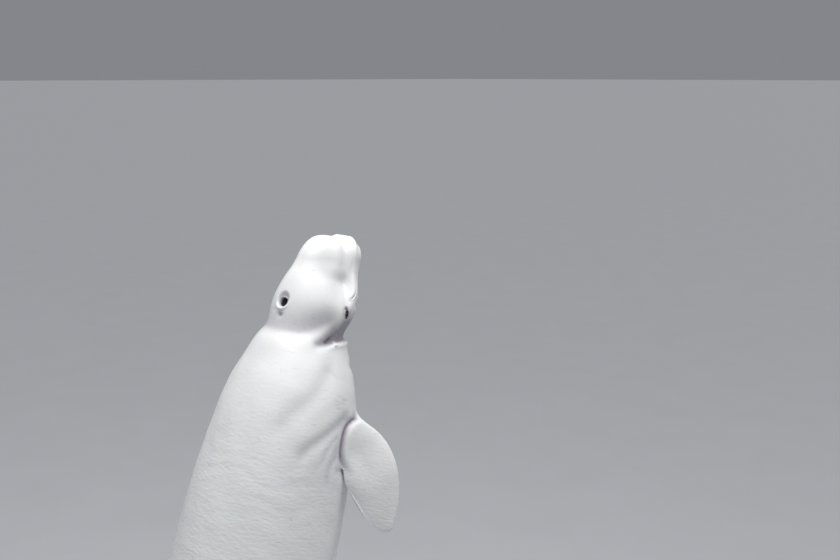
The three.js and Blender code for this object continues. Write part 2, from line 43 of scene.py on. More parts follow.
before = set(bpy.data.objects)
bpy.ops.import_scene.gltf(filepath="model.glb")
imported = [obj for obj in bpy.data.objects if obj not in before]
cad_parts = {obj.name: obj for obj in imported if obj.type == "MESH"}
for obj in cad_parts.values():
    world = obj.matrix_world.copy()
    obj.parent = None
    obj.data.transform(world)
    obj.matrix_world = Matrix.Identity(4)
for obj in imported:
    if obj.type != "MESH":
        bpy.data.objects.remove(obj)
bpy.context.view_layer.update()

import math

import bmesh
import bpy
import numpy as np
from bpy.props import FloatProperty, FloatVectorProperty, IntProperty, PointerProperty
from mathutils import Matrix, Vector


FLESH = (
    "head", "lower_jaw", "neck", "chest", "abdomen", "loin", "tail_stock",
    "flipper_right", "flipper_left", "fluke_right", "fluke_left", "dorsal_ridge",
)
MM = 0.001

# The whale's measures: those of its solids, with the head's masses a little refined
TRUNK = (  # station, then the reach to the back, to the belly and to each side
    (130, 60, 60, 60), (260, 146, 122, 142), (400, 204, 172, 198), (530, 228, 204, 208),
    (660, 264, 264, 256), (790, 302, 316, 312), (950, 337, 360, 352), (1180, 366, 388, 380),
    (1480, 388, 406, 404), (1780, 396, 412, 412), (2080, 390, 400, 404), (2400, 360, 366, 372),
    (2720, 312, 312, 318), (3040, 256, 250, 250), (3340, 206, 194, 182), (3620, 162, 144, 124),
    (3850, 128, 106, 84), (4040, 96, 76, 62), (4180, 66, 52, 50), (4290, 36, 30, 34),
)
TRUNK_SQUARENESS = 2.15
TRUNK_EASE = 60
TRUNK_FADES = 300
MELON = {"s": 262, "d": 48, "long": 182, "wide": 88, "high": 116, "run": 46, "spread": 18}
MELON_LOBE = {"s": 188, "d": 4, "long": 162, "wide": 100, "high": 64, "run": 0, "spread": 20}
UPPER_JAW = {"s": 200, "d": -72, "long": 132, "wide": 92, "high": 43, "run": 70, "spread": 48}
LOWER_JAW = {"s": 214, "d": -108, "long": 84, "wide": 78, "high": 48, "run": 104, "spread": 44}
CHEEK = {"s": 335, "d": -66, "long": 150, "wide": 96, "high": 70, "run": 0, "spread": 64}
MELON_BLEND = 40
JAW_BLEND = 30
CHEEK_BLEND = 90
HEAD_BLEND = 120
HEAD_MASSES_END = 900
LIP_FOLD = {
    "front": -26, "side": -64, "aside": (8, 90), "deep": 15, "below": 13, "above": 40,
    "starts": (50, 235), "ends": (235, 410),
}
LIP_POCKET = {"s": 262, "d": -44, "deep": 34, "ahead": 56, "behind": 96, "above": 112, "below": 28}
HEAD_HEART = {"s": 200, "d": -55}
HEART_RISE = (200, 520)
LEANS = ((0, 20), (500, 20), (1200, 18), (2400, 22), (3400, 34), (4400, 50))
SPINE_STEP = 10
SPINE_END = 4600
BEAK_TIP = {"y": 860, "z": 4120}
MOUTH = ((-80, -110), (150, -114), (235, -110), (290, -94), (328, -74))
EYE = {"s": 394, "d": -56, "radius": 17, "sunk": 10}
BLOWHOLE = {"s": 420, "x": 8}
RIDGE = {"from": 2180, "to": 2900, "high": 19, "half": 13, "notches": 9, "notch": 0.28}
FLIPPER = {
    "s": 1030, "below": 27, "span": 545, "curl": 34,
    "out": (0.64, 0.26, -0.72), "chord": (0.84, -0.05, 0.46),
}
FLIPPER_OUTLINE = (  # share of the span, leading edge, trailing edge, thickness
    (-0.3, -132, 118, 66), (0, -150, 124, 62), (0.2, -170, 142, 50), (0.4, -160, 158, 40),
    (0.6, -118, 168, 32), (0.78, -54, 164, 25), (0.9, 10, 146, 19), (0.97, 60, 124, 14), (1, 84, 102, 8),
)
FLUKE_EDGE = (  # the leading edge from the tail stock out to the tip, as s and x
    (4040, 62), (4066, 61), (4082, 70), (4100, 98), (4134, 165), (4186, 245), (4246, 325),
    (4312, 400), (4372, 452), (4418, 482), (4436, 486),
)
FLUKE_TRAIL = (  # x, then the trailing edge
    (0, 4398), (12, 4408), (40, 4436), (95, 4458), (165, 4464), (245, 4458), (325, 4450),
    (400, 4446), (452, 4445), (486, 4436),
)
FLUKE_THICK = (
    (0, 46), (40, 44), (95, 38), (165, 31), (245, 25), (325, 20), (400, 16), (452, 12), (486, 7),
)
FLUKES_D = 4
FLUKE_ROOT = {"x": 61, "s": 4050, "back": 16}  # where each fluke leaves the tail stock
TAIL_TIP = 4290  # where the tail stock ends inside the flukes

# How finely the skin is laid out
COLUMNS = 240
TRUNK_COLUMNS_FROM = 1400
DOME_RINGS = 52
DOME_COLUMNS = ((7, 30), (18, 60), (40, 120), (91, 240))  # up to this angle, so many columns
ROW_STEPS = ((200, 4.5), (600, 5), (760, 9), (1400, 10), (1500, 20), (3900, 20), (4040, 10))
TAIL_START = 4040
TAIL_ROWS = 44
FIN_MERGE = 2.2  # how evenly the tail stock runs out into the flukes: 1 is softest
FILLET_RINGS = 12
FILLET_PULL = 0.9
FLIPPER_RINGS = 34


class Curve:
    """A smooth curve through values at rising stations: a natural cubic spline."""

    def __init__(self, rows, column=1):
        self.at = np.array([row[0] for row in rows], float)
        self.value = np.array([row[column] for row in rows], float)
        count = len(self.at)
        self.bend = np.zeros(count)
        upper = np.zeros(count)
        gap = np.diff(self.at)
        slope = np.diff(self.value) / gap
        for i in range(1, count - 1):
            pivot = 2 * (gap[i - 1] + gap[i]) - gap[i - 1] * upper[i - 1]
            upper[i] = gap[i] / pivot
            self.bend[i] = (6 * (slope[i] - slope[i - 1]) - gap[i - 1] * self.bend[i - 1]) / pivot
        for i in range(count - 2, 0, -1):
            self.bend[i] -= upper[i] * self.bend[i + 1]

    def __call__(self, where):
        """Its value at some stations, level beyond its ends."""
        where = np.asarray(where, float)
        i = np.clip(np.searchsorted(self.at, where) - 1, 0, len(self.at) - 2)
        gap = self.at[i + 1] - self.at[i]
        after = np.clip((where - self.at[i]) / gap, 0, 1)
        before = 1 - after
        bow = (1 + before) * self.bend[i] + (1 + after) * self.bend[i + 1]
        return before * self.value[i] + after * self.value[i + 1] - gap**2 * before * after * bow / 6


def smooth(value, low, high):
    """0 up to low, 1 from high, and an even S between them."""
    share = np.clip((value - low) / (high - low), 0, 1)
    return share * share * (3 - 2 * share)


def bell(value, width):
    """1 at 0, falling off softly to each side."""
    return np.exp(-((value / width) ** 2))


def unit(vectors):
    """Vectors brought to length 1."""
    return vectors / np.maximum(np.linalg.norm(vectors, axis=-1, keepdims=True), 1e-9)


TRUNK_BACK, TRUNK_BELLY, TRUNK_SIDE = (Curve(TRUNK, column) for column in (1, 2, 3))
MOUTH_AT = Curve(MOUTH)


def trunk_distance(s, x, d):
    """How far a point is outside the trunk, which fades out in the head."""
    upward = smooth(d, -TRUNK_EASE, TRUNK_EASE)
    reach = TRUNK_BELLY(s) * (1 - upward) + TRUNK_BACK(s) * upward
    width = TRUNK_SIDE(s)
    ratio = (np.abs(x) / width) ** TRUNK_SQUARENESS + (np.abs(d) / reach) ** TRUNK_SQUARENESS
    inward = (ratio ** (1 / TRUNK_SQUARENESS) - 1) * np.minimum(width, reach)
    return inward + np.maximum(TRUNK_FADES - s, 0) ** 2 / TRUNK_FADES


def mass_distance(mass, s, x, d):
    """How far a point is outside one rounded mass of the head."""
    away = (
        np.maximum(np.abs(s - mass["s"]) - mass["run"], 0),
        np.maximum(np.abs(x) - mass["spread"], 0),
        d - mass["d"],
    )
    size = (mass["long"], mass["wide"], mass["high"])
    near = np.sqrt(sum((a / b) ** 2 for a, b in zip(away, size)))
    slope = np.sqrt(sum((a / b**2) ** 2 for a, b in zip(away, size)))
    return np.where(slope < 1e-9, -min(size), near * (near - 1) / np.maximum(slope, 1e-9))


def blend(one, other, width):
    """The nearer of two masses, with the corner between them filled."""
    share = np.maximum(width - np.abs(one - other), 0) / width
    return np.minimum(one, other) - share * share * width / 4


def whale_distance(s, x, d):
    """How far a point is outside the whale's body, about, and less than 0 inside it."""
    trunk = trunk_distance(s, x, d)
    jaws = blend(mass_distance(UPPER_JAW, s, x, d), mass_distance(LOWER_JAW, s, x, d), JAW_BLEND)
    melon = blend(mass_distance(MELON, s, x, d), mass_distance(MELON_LOBE, s, x, d), MELON_BLEND)
    face = blend(melon, jaws, MELON_BLEND)
    cheeks = blend(face, mass_distance(CHEEK, s, x, d), CHEEK_BLEND)
    aside = smooth(np.abs(x), *LIP_FOLD["aside"])
    fold_at = LIP_FOLD["front"] * (1 - aside) + LIP_FOLD["side"] * aside
    wide = np.where(d < fold_at, LIP_FOLD["below"], LIP_FOLD["above"])
    fold = LIP_FOLD["deep"] * bell(d - fold_at, wide)
    fold = fold * (1 - smooth(s, *LIP_FOLD["ends"])) * (0.08 + 0.92 * smooth(s, *LIP_FOLD["starts"]))
    long = np.where(s < LIP_POCKET["s"], LIP_POCKET["ahead"], LIP_POCKET["behind"])
    high = np.where(d < LIP_POCKET["d"], LIP_POCKET["below"], LIP_POCKET["above"])
    pocket = bell(s - LIP_POCKET["s"], long) * bell(d - LIP_POCKET["d"], high)
    fold = fold + LIP_POCKET["deep"] * pocket * smooth(np.abs(x), 20, 110)
    return np.where(s > HEAD_MASSES_END, trunk, blend(trunk, cheeks, HEAD_BLEND) + fold)


def reach_of_rays(start, along, far=700, distance=whale_distance):
    """How far rays from points inside the body run to its surface."""
    low = np.zeros(len(start))
    high = np.full(len(start), float(far))
    for _ in range(24):
        middle = (low + high) / 2
        point = start + along * middle[:, None]
        inside = distance(*point.T) < 0
        low = np.where(inside, middle, low)
        high = np.where(inside, high, middle)
    return low


def slope_at(points, step=0.5):
    """The direction in which the distance grows, at each point."""
    steps = []
    for axis in range(3):
        shift = np.zeros(3)
        shift[axis] = step
        steps.append(whale_distance(*(points + shift).T) - whale_distance(*(points - shift).T))
    return np.stack(steps, 1) / (2 * step)


LEAN = Curve([(s, math.radians(angle)) for s, angle in LEANS])
SPINE_S = np.arange(0, SPINE_END + 1, SPINE_STEP, dtype=float)
SPINE_LEAN = LEAN(SPINE_S[:-1] + SPINE_STEP / 2)
SPINE_Y = BEAK_TIP["y"] - np.concatenate([[0], np.cumsum(SPINE_STEP * np.sin(SPINE_LEAN))])
SPINE_Z = BEAK_TIP["z"] - np.concatenate([[0], np.cumsum(SPINE_STEP * np.cos(SPINE_LEAN))])


def posed(points):
    """Points of the straight frame in the pose and in metres."""
    s, x, d = np.asarray(points, float).reshape(-1, 3).T
    lean = LEAN(s)
    ahead = np.maximum(-s, 0)
    y = np.interp(s, SPINE_S, SPINE_Y) + ahead * np.sin(lean) - d * np.cos(lean)
    z = np.interp(s, SPINE_S, SPINE_Z) + ahead * np.cos(lean) + d * np.sin(lean)
    return np.stack([x, y, z], 1) * MM


def on_body(s, turn, sunk=0):
    """A point of the body at station s, turned so many degrees from the back to the right."""
    turn = np.radians(turn)
    start = np.array([[s, 0, HEAD_HEART["d"] * (1 - smooth(s, *HEART_RISE))]], float)
    along = np.array([[0, math.sin(turn), math.cos(turn)]])
    return (start + along * (reach_of_rays(start, along)[:, None] - sunk))[0]


def beside(s, d, sunk=0):
    """A point of the right side at station s and height d."""
    start = np.array([[s, 0, d]], float)
    reach = reach_of_rays(start, np.array([[0, 1, 0]], float))[0]
    return np.array([s, reach - sunk, d])


# The skin's rings from the beak to the tail
SHEAR = {"s": 1030, "turn": 118, "slope": math.tan(math.radians(15))}


def sheared(s, turn):
    """Turns of the columns, which lean with the root of each flipper where they pass it."""
    folded = math.pi - np.abs(turn - math.pi)
    near_s = 1 - smooth(abs(s - SHEAR["s"]), 160, 420)
    near_turn = 1 - smooth(np.abs(folded - math.radians(SHEAR["turn"])), 0.2, 0.95)
    shift = SHEAR["slope"] * (s - SHEAR["s"]) / TRUNK_SIDE(s) * near_s * near_turn
    return turn - shift * np.where(turn > math.pi, -1, 1)


def dome_ring(angle, columns):
    """A ring of the face, on rays at an angle from the one that runs forwards from the head's heart."""
    turn = np.arange(columns) * 2 * math.pi / columns
    start = np.tile([HEAD_HEART["s"], 0, HEAD_HEART["d"]], (columns, 1)).astype(float)
    tilt = math.radians(angle)
    along = np.stack(
        [np.full(columns, -math.cos(tilt)), math.sin(tilt) * np.sin(turn), math.sin(tilt) * np.cos(turn)], 1
    )
    return start + along * reach_of_rays(start, along)[:, None]


def body_ring(s, columns):
    """A ring of the body at station s."""
    turn = sheared(s, np.arange(columns) * 2 * math.pi / columns)
    heart = HEAD_HEART["d"] * (1 - smooth(s, *HEART_RISE))
    start = np.tile([s, 0, heart], (columns, 1)).astype(float)
    along = np.stack([np.zeros(columns), np.sin(turn), np.cos(turn)], 1)
    return start + along * reach_of_rays(start, along)[:, None]


FIN_TAPER = 0.35
FIN_FULL = 1.3
FLUKE_SAMPLES = 400


def fin_half(along, thick):
    """Half the thickness of a fin's section, at a share of the way from leading to trailing edge."""
    along = np.clip(along, 0, 1)
    return thick * np.sqrt(along * (1 - along)) * (1 - along) ** FIN_TAPER * FIN_FULL


def tail_rings(first):
    """Rings that spread from the last ring of the trunk into the flukes, out to their trailing edge."""
    edge_rows = [(i, *row) for i, row in enumerate(FLUKE_EDGE)]
    fine = np.linspace(0, len(edge_rows) - 1, FLUKE_SAMPLES)
    edge = np.stack([Curve(edge_rows, 1)(fine), Curve(edge_rows, 2)(fine)], 1)
    gone = np.concatenate([[0], np.cumsum(np.linalg.norm(np.diff(edge, axis=0), axis=1))])
    trail = Curve(FLUKE_TRAIL)
    thick = Curve(FLUKE_THICK)
    outward = edge[np.searchsorted(edge[:, 1], FLUKE_ROOT["x"] + 0.5) :]
    first_out = np.abs(first[:, 1]) / np.abs(first[:, 1]).max()
    opposite = (len(first) // 2 - np.arange(len(first))) % len(first)
    last_out = (first_out + first_out[opposite]) / 2
    side = np.sign(first[:, 1])
    above = np.where(first[:, 2] > 0, 1.0, -1.0)
    rings = []
    for row in range(1, TAIL_ROWS + 1):
        share = row / TAIL_ROWS
        share = 0.8 * share + 0.2 * math.sin(share * math.pi / 2)
        share_out = first_out + (last_out - first_out) * share
        at = share * gone[-1]
        edge_s = np.interp(at, gone, edge[:, 0])
        edge_x = np.interp(at, gone, edge[:, 1])
        bend = share_out**2
        x = edge_x * share_out
        middle_s = TAIL_START + (FLUKE_TRAIL[0][1] - TAIL_START) * share
        s = (1 - bend) * middle_s + bend * edge_s
        last = (1 - bend) * FLUKE_TRAIL[0][1] + bend * edge[-1, 0]
        s = s + share**3 * (trail(edge[-1, 1] * share_out) - last)
        rooted = FLUKE_ROOT["s"] + x / FLUKE_ROOT["x"] * FLUKE_ROOT["back"]
        lead = np.where(x < FLUKE_ROOT["x"], rooted, np.interp(x, outward[:, 1], outward[:, 0]))
        end = trail(x)
        fin = fin_half((s - lead) / np.maximum(end - lead, 1), thick(x))
        level = np.zeros_like(s)
        start = np.stack([s, x, level], 1)
        body = reach_of_rays(start, np.stack([level, level, above], 1), 150, trunk_distance)
        past_tip = np.clip((s - TAIL_TIP) / (end - TAIL_TIP), 0, 1)
        body = body * np.sqrt(1 - past_tip**2)
        high = (fin**FIN_MERGE + body**FIN_MERGE) ** (1 / FIN_MERGE)
        high = np.where(share_out > 0.9999, 0, high)
        rings.append(np.stack([s, x * side, FLUKES_D * smooth(share, 0, 0.3) + above * high], 1))
    return rings


def bridge(one, other):
    """Faces between two closed rings of vertex numbers, of one count or where one has half the other's."""
    if len(one) == len(other):
        return [
            (one[i], one[(i + 1) % len(one)], other[(i + 1) % len(one)], other[i]) for i in range(len(one))
        ]
    if len(one) < len(other):
        return [face[::-1] for face in bridge(other, one)]
    faces = []
    half = len(other)
    for i in range(half):
        left, middle, right = (one[(2 * i + j) % len(one)] for j in range(3))
        near, far = (other[(i + j) % half] for j in range(2))
        faces += [(left, middle, near), (middle, far, near), (middle, right, far)]
    return faces


def row_stations():
    """Stations of the body's rings, from the middle of the head to the start of the tail."""
    at, step = zip(*ROW_STEPS)
    stations = [float(at[0])]
    while stations[-1] < TAIL_START - 5:
        stations.append(stations[-1] + float(np.interp(stations[-1], at, step)))
    stations = np.array(stations)
    return at[0] + (stations - at[0]) * (TAIL_START - at[0]) / (stations[-1] - at[0])


# The flippers, grown out of the body's grid
PATCH = {"from": 878, "to": 1172, "high": 108.5, "low": 128}
FLIPPER_FIRST = 0.18  # share of the span where the fillet meets the flipper
FLIPPER_SUNK = 30
FLIPPER_LOOK_BACK = 0.04  # the share of the span over which the root's slope is taken
FLIPPER_TIP = 3
ROOT_SHARES = (0.05, 0.93)  # shares of the chord that the patch's long sides run along
EASED_REACH = 42
EASED_STEP = 0.5
EASED_TIMES = 140
EASED_LEAST = 0.01


def flipper_frame():
    """The middle of the flipper's root, and its ways out to the tip, back along its chord and inwards."""
    root = on_body(FLIPPER["s"], 90 + FLIPPER["below"])
    out = unit(np.array(FLIPPER["out"]))
    chord = np.array(FLIPPER["chord"])
    chord = unit(chord - out * chord.dot(out))
    return root, out, chord, np.cross(out, chord)


def flipper_ring(t, section):
    """One ring of the flipper at a share t of its span. section holds a turn round it for each point."""
    root, out, chord, up = flipper_frame()
    lead, trail, thick = (float(Curve(FLIPPER_OUTLINE, column)(t)) for column in (1, 2, 3))
    along = (1 - np.cos(section)) / 2
    rise = FLIPPER["curl"] * max(t, 0) ** 2 - fin_half(along, thick) * np.sign(np.sin(section))
    rise = rise + FLIPPER_SUNK * (1 - smooth(t, 0.1, 0.6)) * (1 - 1.5 * smooth(along, 0.5, 0.95))
    run = lead + (trail - lead) * along
    return root + out * (t * FLIPPER["span"]) + run[:, None] * chord + rise[:, None] * up


def section_turns(half_front, length, half_rear):
    """Turns round a fin's section that meet the sides of a patch of the grid, from the leading edge on."""
    top = np.arccos(1 - 2 * np.linspace(*ROOT_SHARES, length + 1))
    front = np.linspace(0, top[0], half_front + 1)[:-1]
    rear = np.linspace(top[-1], math.pi, half_rear + 1)[1:]
    return np.concatenate([front, top, rear])


def build_grid():
    """Vertices of the skin in the straight frame, its faces, and how free of the body each vertex is."""
    rings = []
    for i in range(1, DOME_RINGS):
        angle = 90 * i / DOME_RINGS
        columns = next(count for limit, count in DOME_COLUMNS if angle <= limit)
        rings.append(dome_ring(angle, columns))
    stations = row_stations()
    first_body = len(rings)
    for s in stations:
        rings.append(body_ring(s, COLUMNS if s < TRUNK_COLUMNS_FROM else COLUMNS // 2))
    trunk_end = len(rings)
    rings += tail_rings(rings[-1])
    points = [dome_ring(0.01, 1)]
    numbers = []
    count = 1
    for ring in rings:
        numbers.append(np.arange(count, count + len(ring)))
        points.append(ring)
        count += len(ring)
    free = [np.zeros(1)] + [np.full(len(ring), float(i >= trunk_end)) for i, ring in enumerate(rings)]
    row_from, row_to = (first_body + int(np.abs(stations - PATCH[key]).argmin()) for key in ("from", "to"))
    step = 360 / COLUMNS
    high = round(PATCH["high"] / step)
    low = round(PATCH["low"] / step)
    faces = [(0, numbers[0][(i + 1) % len(numbers[0])], numbers[0][i]) for i in range(len(numbers[0]))]
    for i in range(len(rings) - 1):
        made = bridge(numbers[i], numbers[i + 1])
        if row_from <= i < row_to:
            gone = set(range(high, low)) | set(range(COLUMNS - low, COLUMNS - high))
            made = [face for column, face in enumerate(made) if column not in gone]
        faces += made
    for side in (1, -1):
        loop = patch_loop(numbers, row_from, row_to, high, low, side)
        grown, grown_faces = flipper_skin(
            loop, np.concatenate(points), side, count, row_to - row_from, low - high
        )
        points.append(grown)
        free.append(np.ones(len(grown)))
        faces += grown_faces
        count += len(grown)
    return np.concatenate(points), faces, np.concatenate(free)


def patch_loop(numbers, row_from, row_to, high, low, side):
    """Numbers of the vertices round a flipper's patch, from the middle of its front edge towards the back."""
    middle = (high + low) // 2
    path = [(row_from, column) for column in range(middle, high, -1)]
    path += [(row, high) for row in range(row_from, row_to)]
    path += [(row_to, column) for column in range(high, low)]
    path += [(row, low) for row in range(row_to, row_from, -1)]
    path += [(row_from, column) for column in range(low, middle, -1)]
    return np.array([numbers[row][side * column % COLUMNS] for row, column in path])


def patch_rims():
    """Points of the body round both flippers' patches, where the skin is eased."""
    rims = []
    for turn in np.arange(PATCH["high"], PATCH["low"] + 1, 2.8):
        rims += [on_body(PATCH["from"], turn), on_body(PATCH["to"], turn)]
    for s in np.arange(PATCH["from"], PATCH["to"] + 1, 14):
        rims += [on_body(s, PATCH["high"]), on_body(s, PATCH["low"])]
    return rims + [point * np.array([1, -1, 1]) for point in rims]


def flipper_skin(loop, points, side, first_number, length, height):
    """The fillet from a patch's loop into the flipper, and the flipper out to its tip."""
    front_up = (height + 1) // 2
    front_down = height - front_up
    upper = section_turns(front_up, length, front_up)
    lower = section_turns(front_down, length, front_down)
    section = np.concatenate([upper[:-1], 2 * math.pi - lower[::-1]])[: len(loop)]
    mirror = np.array([1, side, 1])
    rim = points[loop] * mirror
    normal = unit(slope_at(rim))
    root = flipper_ring(FLIPPER_FIRST, section)
    before = flipper_ring(FLIPPER_FIRST - FLIPPER_LOOK_BACK, section)
    across = root - rim
    gap = np.linalg.norm(across, axis=1, keepdims=True)
    off_skin = normal * np.sum(across * normal, axis=1, keepdims=True)
    start = unit(across - 0.5 * off_skin) * gap * FILLET_PULL
    end = unit(root - before) * gap * FILLET_PULL
    rings = []
    for i in range(1, FILLET_RINGS + 1):
        t = i / (FILLET_RINGS + 1)
        rings.append(
            (2 * t**3 - 3 * t**2 + 1) * rim + (t**3 - 2 * t**2 + t) * start
            + (3 * t**2 - 2 * t**3) * root + (t**3 - t**2) * end
        )
    for i in range(FLIPPER_RINGS + 1):
        share = i / FLIPPER_RINGS
        share = 0.55 * share + 0.45 * math.sin(share * math.pi / 2)
        rings.append(flipper_ring(FLIPPER_FIRST + (1 - FLIPPER_FIRST) * share, section))
    tip = rings[-1].mean(0) + flipper_frame()[1] * FLIPPER_TIP
    grown = np.concatenate([*rings, [tip]]) * mirror
    numbers = [loop, *(first_number + np.arange(len(rings) * len(loop)).reshape(len(rings), -1))]
    faces = []
    for one, other in zip(numbers, numbers[1:]):
        faces += bridge(one, other)
    last = numbers[-1]
    faces += [(last[i], last[(i + 1) % len(last)], last[-1] + 1) for i in range(len(last))]
    return grown, faces


# Folds and small forms of the skin. Each path is points of station and turn from the back in degrees
FLIPPER_CREASE = (
    (874, 133), (905, 123), (950, 114.5), (1000, 110.5), (1050, 109.5), (1110, 110), (1166, 114), (1222, 122),
)
NECK_EDGE = (
    (600, 56), (584, 68), (564, 86), (548, 102), (535, 118), (524, 134), (514, 152), (508, 168), (506, 180),
)
FOLDS = (  # path, depth, half width on its left and on its right as it runs, strength of the painted shade in it
    (((552, 0), (550, 22), (540, 42), (510, 58), (478, 71), (448, 83), (430, 94)), 12, 70, 42, 0.35),
    (((332, 112), (344, 128), (354, 146), (360, 162)), 7, 20, 16, 0.2),
    (((612, 60), (576, 72), (540, 82), (500, 90), (470, 98)), 4, 34, 34, 0.2),
    (((676, 96), (720, 84), (828, 73), (906, 61), (984, 52), (1038, 46), (1096, 36)), 7, 56, 50, 0.1),
    (((886, 119), (925, 108), (966, 99), (1044, 83), (1092, 74), (1152, 69), (1248, 70)), 8, 36, 30, 0.2),
    (((1010, 104), (1050, 96), (1120, 90), (1200, 88)), 2, 16, 16, 0.1),
    (((1100, 106), (1160, 99), (1230, 97), (1300, 99)), 3, 20, 20, 0.1),
    (FLIPPER_CREASE, 8, 20, 64, 0.25),
    (FLIPPER_CREASE, 13, 16, 17, 0.6),
    (((690, 180), (684, 160), (664, 140), (636, 124)), 6, 18, 18, 0.2),
    (((1250, 118), (1500, 126), (1900, 124), (2300, 128), (2700, 134)), 8, 40, 40, 0.1),
    (((1300, 146), (1700, 150), (2200, 148), (2600, 152)), 6, 36, 36, 0.1),
)
FINE_LINES = (
    ((836, 92), (846, 100), (850, 110)), ((850, 91), (861, 99), (866, 108)),
    ((820, 95), (829, 103), (833, 112)), ((866, 92), (878, 99), (884, 106)),
)
NAVEL = 2000
VENT = 3080
SLIT = {"from": 2640, "to": 2890}
MOLE = {"s": 562, "turn": 99, "rise": 7, "wide": 10, "shadow_behind": 15}
EAR = {"s": 446, "d": -62}
LIPS_END = 360
FACE_END = 480
FAR = 1e3
PAINTED_SHADE_MOST = 0.79  # the neck's painted shade stays under this; darker than this the skin gets the near-black painted shade of an opening
BACK_FROM = 100  # a point this high is on the back


PATH_STEPS = 9
PATH_REACH = 200


def path_distance(path, s, arc):
    """Distance of points from a smooth path on the unrolled skin, how far along it, and which side."""
    rows = [(i, *row) for i, row in enumerate(path)]
    fine = np.linspace(0, len(path) - 1, PATH_STEPS * (len(path) - 1) + 1)
    line_s = Curve(rows, 1)(fine)
    line_arc = np.radians(Curve(rows, 2)(fine)) * girth(line_s)
    best = np.full(len(s), 1e9)
    where = np.zeros(len(s))
    side = np.ones(len(s))
    near = np.flatnonzero((s > line_s.min() - PATH_REACH) & (s < line_s.max() + PATH_REACH))
    for i in range(len(fine) - 1):
        way_s = line_s[i + 1] - line_s[i]
        way_arc = line_arc[i + 1] - line_arc[i]
        off_s = s[near] - line_s[i]
        off_arc = arc[near] - line_arc[i]
        t = np.clip((off_s * way_s + off_arc * way_arc) / (way_s * way_s + way_arc * way_arc), 0, 1)
        gap = np.hypot(off_s - way_s * t, off_arc - way_arc * t)
        closer = gap < best[near]
        found = near[closer]
        best[found] = gap[closer]
        where[found] = (fine[i] + t[closer] / PATH_STEPS) / (len(path) - 1)
        side[found] = np.sign(off_s * way_arc - off_arc * way_s)[closer]
    return best, where, side


def girth(s):
    """Half the body's width, which the length round the skin is reckoned with."""
    return TRUNK_SIDE(np.maximum(s, 420))


def folded(points):
    """Points with those of the left side mirrored to the right."""
    return np.stack([points[:, 0], np.abs(points[:, 1]), points[:, 2]], 1)


def unrolled(points):
    """Station, turn from the back in degrees without its side, and length round the skin."""
    s, x, d = points.T
    heart = HEAD_HEART["d"] * (1 - smooth(s, *HEART_RISE))
    turn = np.degrees(np.arctan2(np.abs(x), d - heart))
    return s, turn, np.radians(turn) * girth(s)


WOBBLE_WAVES = 7


def wobble(points, size, seed):
    """A soft random swell between about -1 and 1, the same each time."""
    rng = np.random.default_rng(seed)
    total = np.zeros(len(points))
    for _ in range(WOBBLE_WAVES):
        way = rng.normal(size=3)
        way *= rng.uniform(0.6, 1.5) / np.linalg.norm(way) * 2 * math.pi / size
        total += np.sin(points @ way + rng.uniform(0, 2 * math.pi))
    return total / 3


EYE_AT = beside(EYE["s"], EYE["d"])
EYE_OUT = unit(slope_at(EYE_AT[None]))[0]
EYE_DEEPER = 2.5
EYE_HEART = EYE_AT - np.array([0, EYE["sunk"] + EYE_DEEPER, 0])
EYE_TILT = math.radians(-14)
EYE_ALONG = unit(np.array([math.cos(EYE_TILT), 0, math.sin(EYE_TILT)]))
EYE_ALONG = unit(EYE_ALONG - EYE_OUT * EYE_ALONG.dot(EYE_OUT))
EYE_UP = np.cross(EYE_OUT, EYE_ALONG)
LID = {"long": 22, "high": 8, "thick": 2.2, "reach": 34}


def eye_forms(points):
    """The lids over each eyeball, and the opening between them, darkened: the opening with painted shade, the
    ring round it partly the skin's own grey and partly painted shade of the lids.
    """
    from_eye = folded(points) - EYE_AT
    along = from_eye @ EYE_ALONG
    up = from_eye @ EYE_UP
    out = np.hypot(along, up)
    ball = EYE["radius"] + LID["thick"]
    cover = np.sqrt(np.maximum(ball**2 - out**2, 0)) - EYE["sunk"] - EYE_DEEPER
    cover = np.logaddexp(cover / 1.8, -0.4) * 1.8 - 0.9
    cover = np.where(out < LID["reach"], cover, 0) * (1 - smooth(out, 19, 33))
    opening = (np.abs(along) / LID["long"]) ** 1.7 + (np.abs(up) / LID["high"]) ** 1.7
    inside = 1 - smooth(opening, 0.7, 1.25)
    rim = bell(opening - 1.35, 0.3) * (out < 30)
    crease = bell(out - 25, 4) * smooth(out, 10, 20)
    rise = 0.8 * cover * (1 - inside) - 10 * inside - 0.5 * crease
    # Near-black painted shade in the opening; round it a grey ring that is partly the skin's own grey and
    # partly painted shade under the lids
    dark = inside + 0.6 * bell(np.maximum(opening - 1, 0), 1.8) + 0.3 * bell(out, LID["reach"])
    return rise, dark, rim, out


def mouth_forms(points):
    """The closed mouth: a narrow groove between two soft lips, drawn up at its corners, with painted shade in
    the groove and the corner's dimple.
    """
    s, _, d = points.T
    corner_s, corner_d = MOUTH[-1]
    below = d - MOUTH_AT(np.clip(s, MOUTH[0][0], corner_s))
    fade = 1 - smooth(s, corner_s - 26, corner_s + 4)
    near = (s < corner_s + 30) & (np.abs(below) < 60)
    groove = bell(below, 3.2) * fade * near
    lips = bell(np.abs(below) - 9, 6.5) * fade * near
    dimple = bell(np.hypot(s - corner_s - 4, d - corner_d), 9) * near
    # painted shade in the groove and the dimple
    return -7 * groove + 1.6 * lips - 2 * dimple, 0.75 * groove + 0.2 * dimple


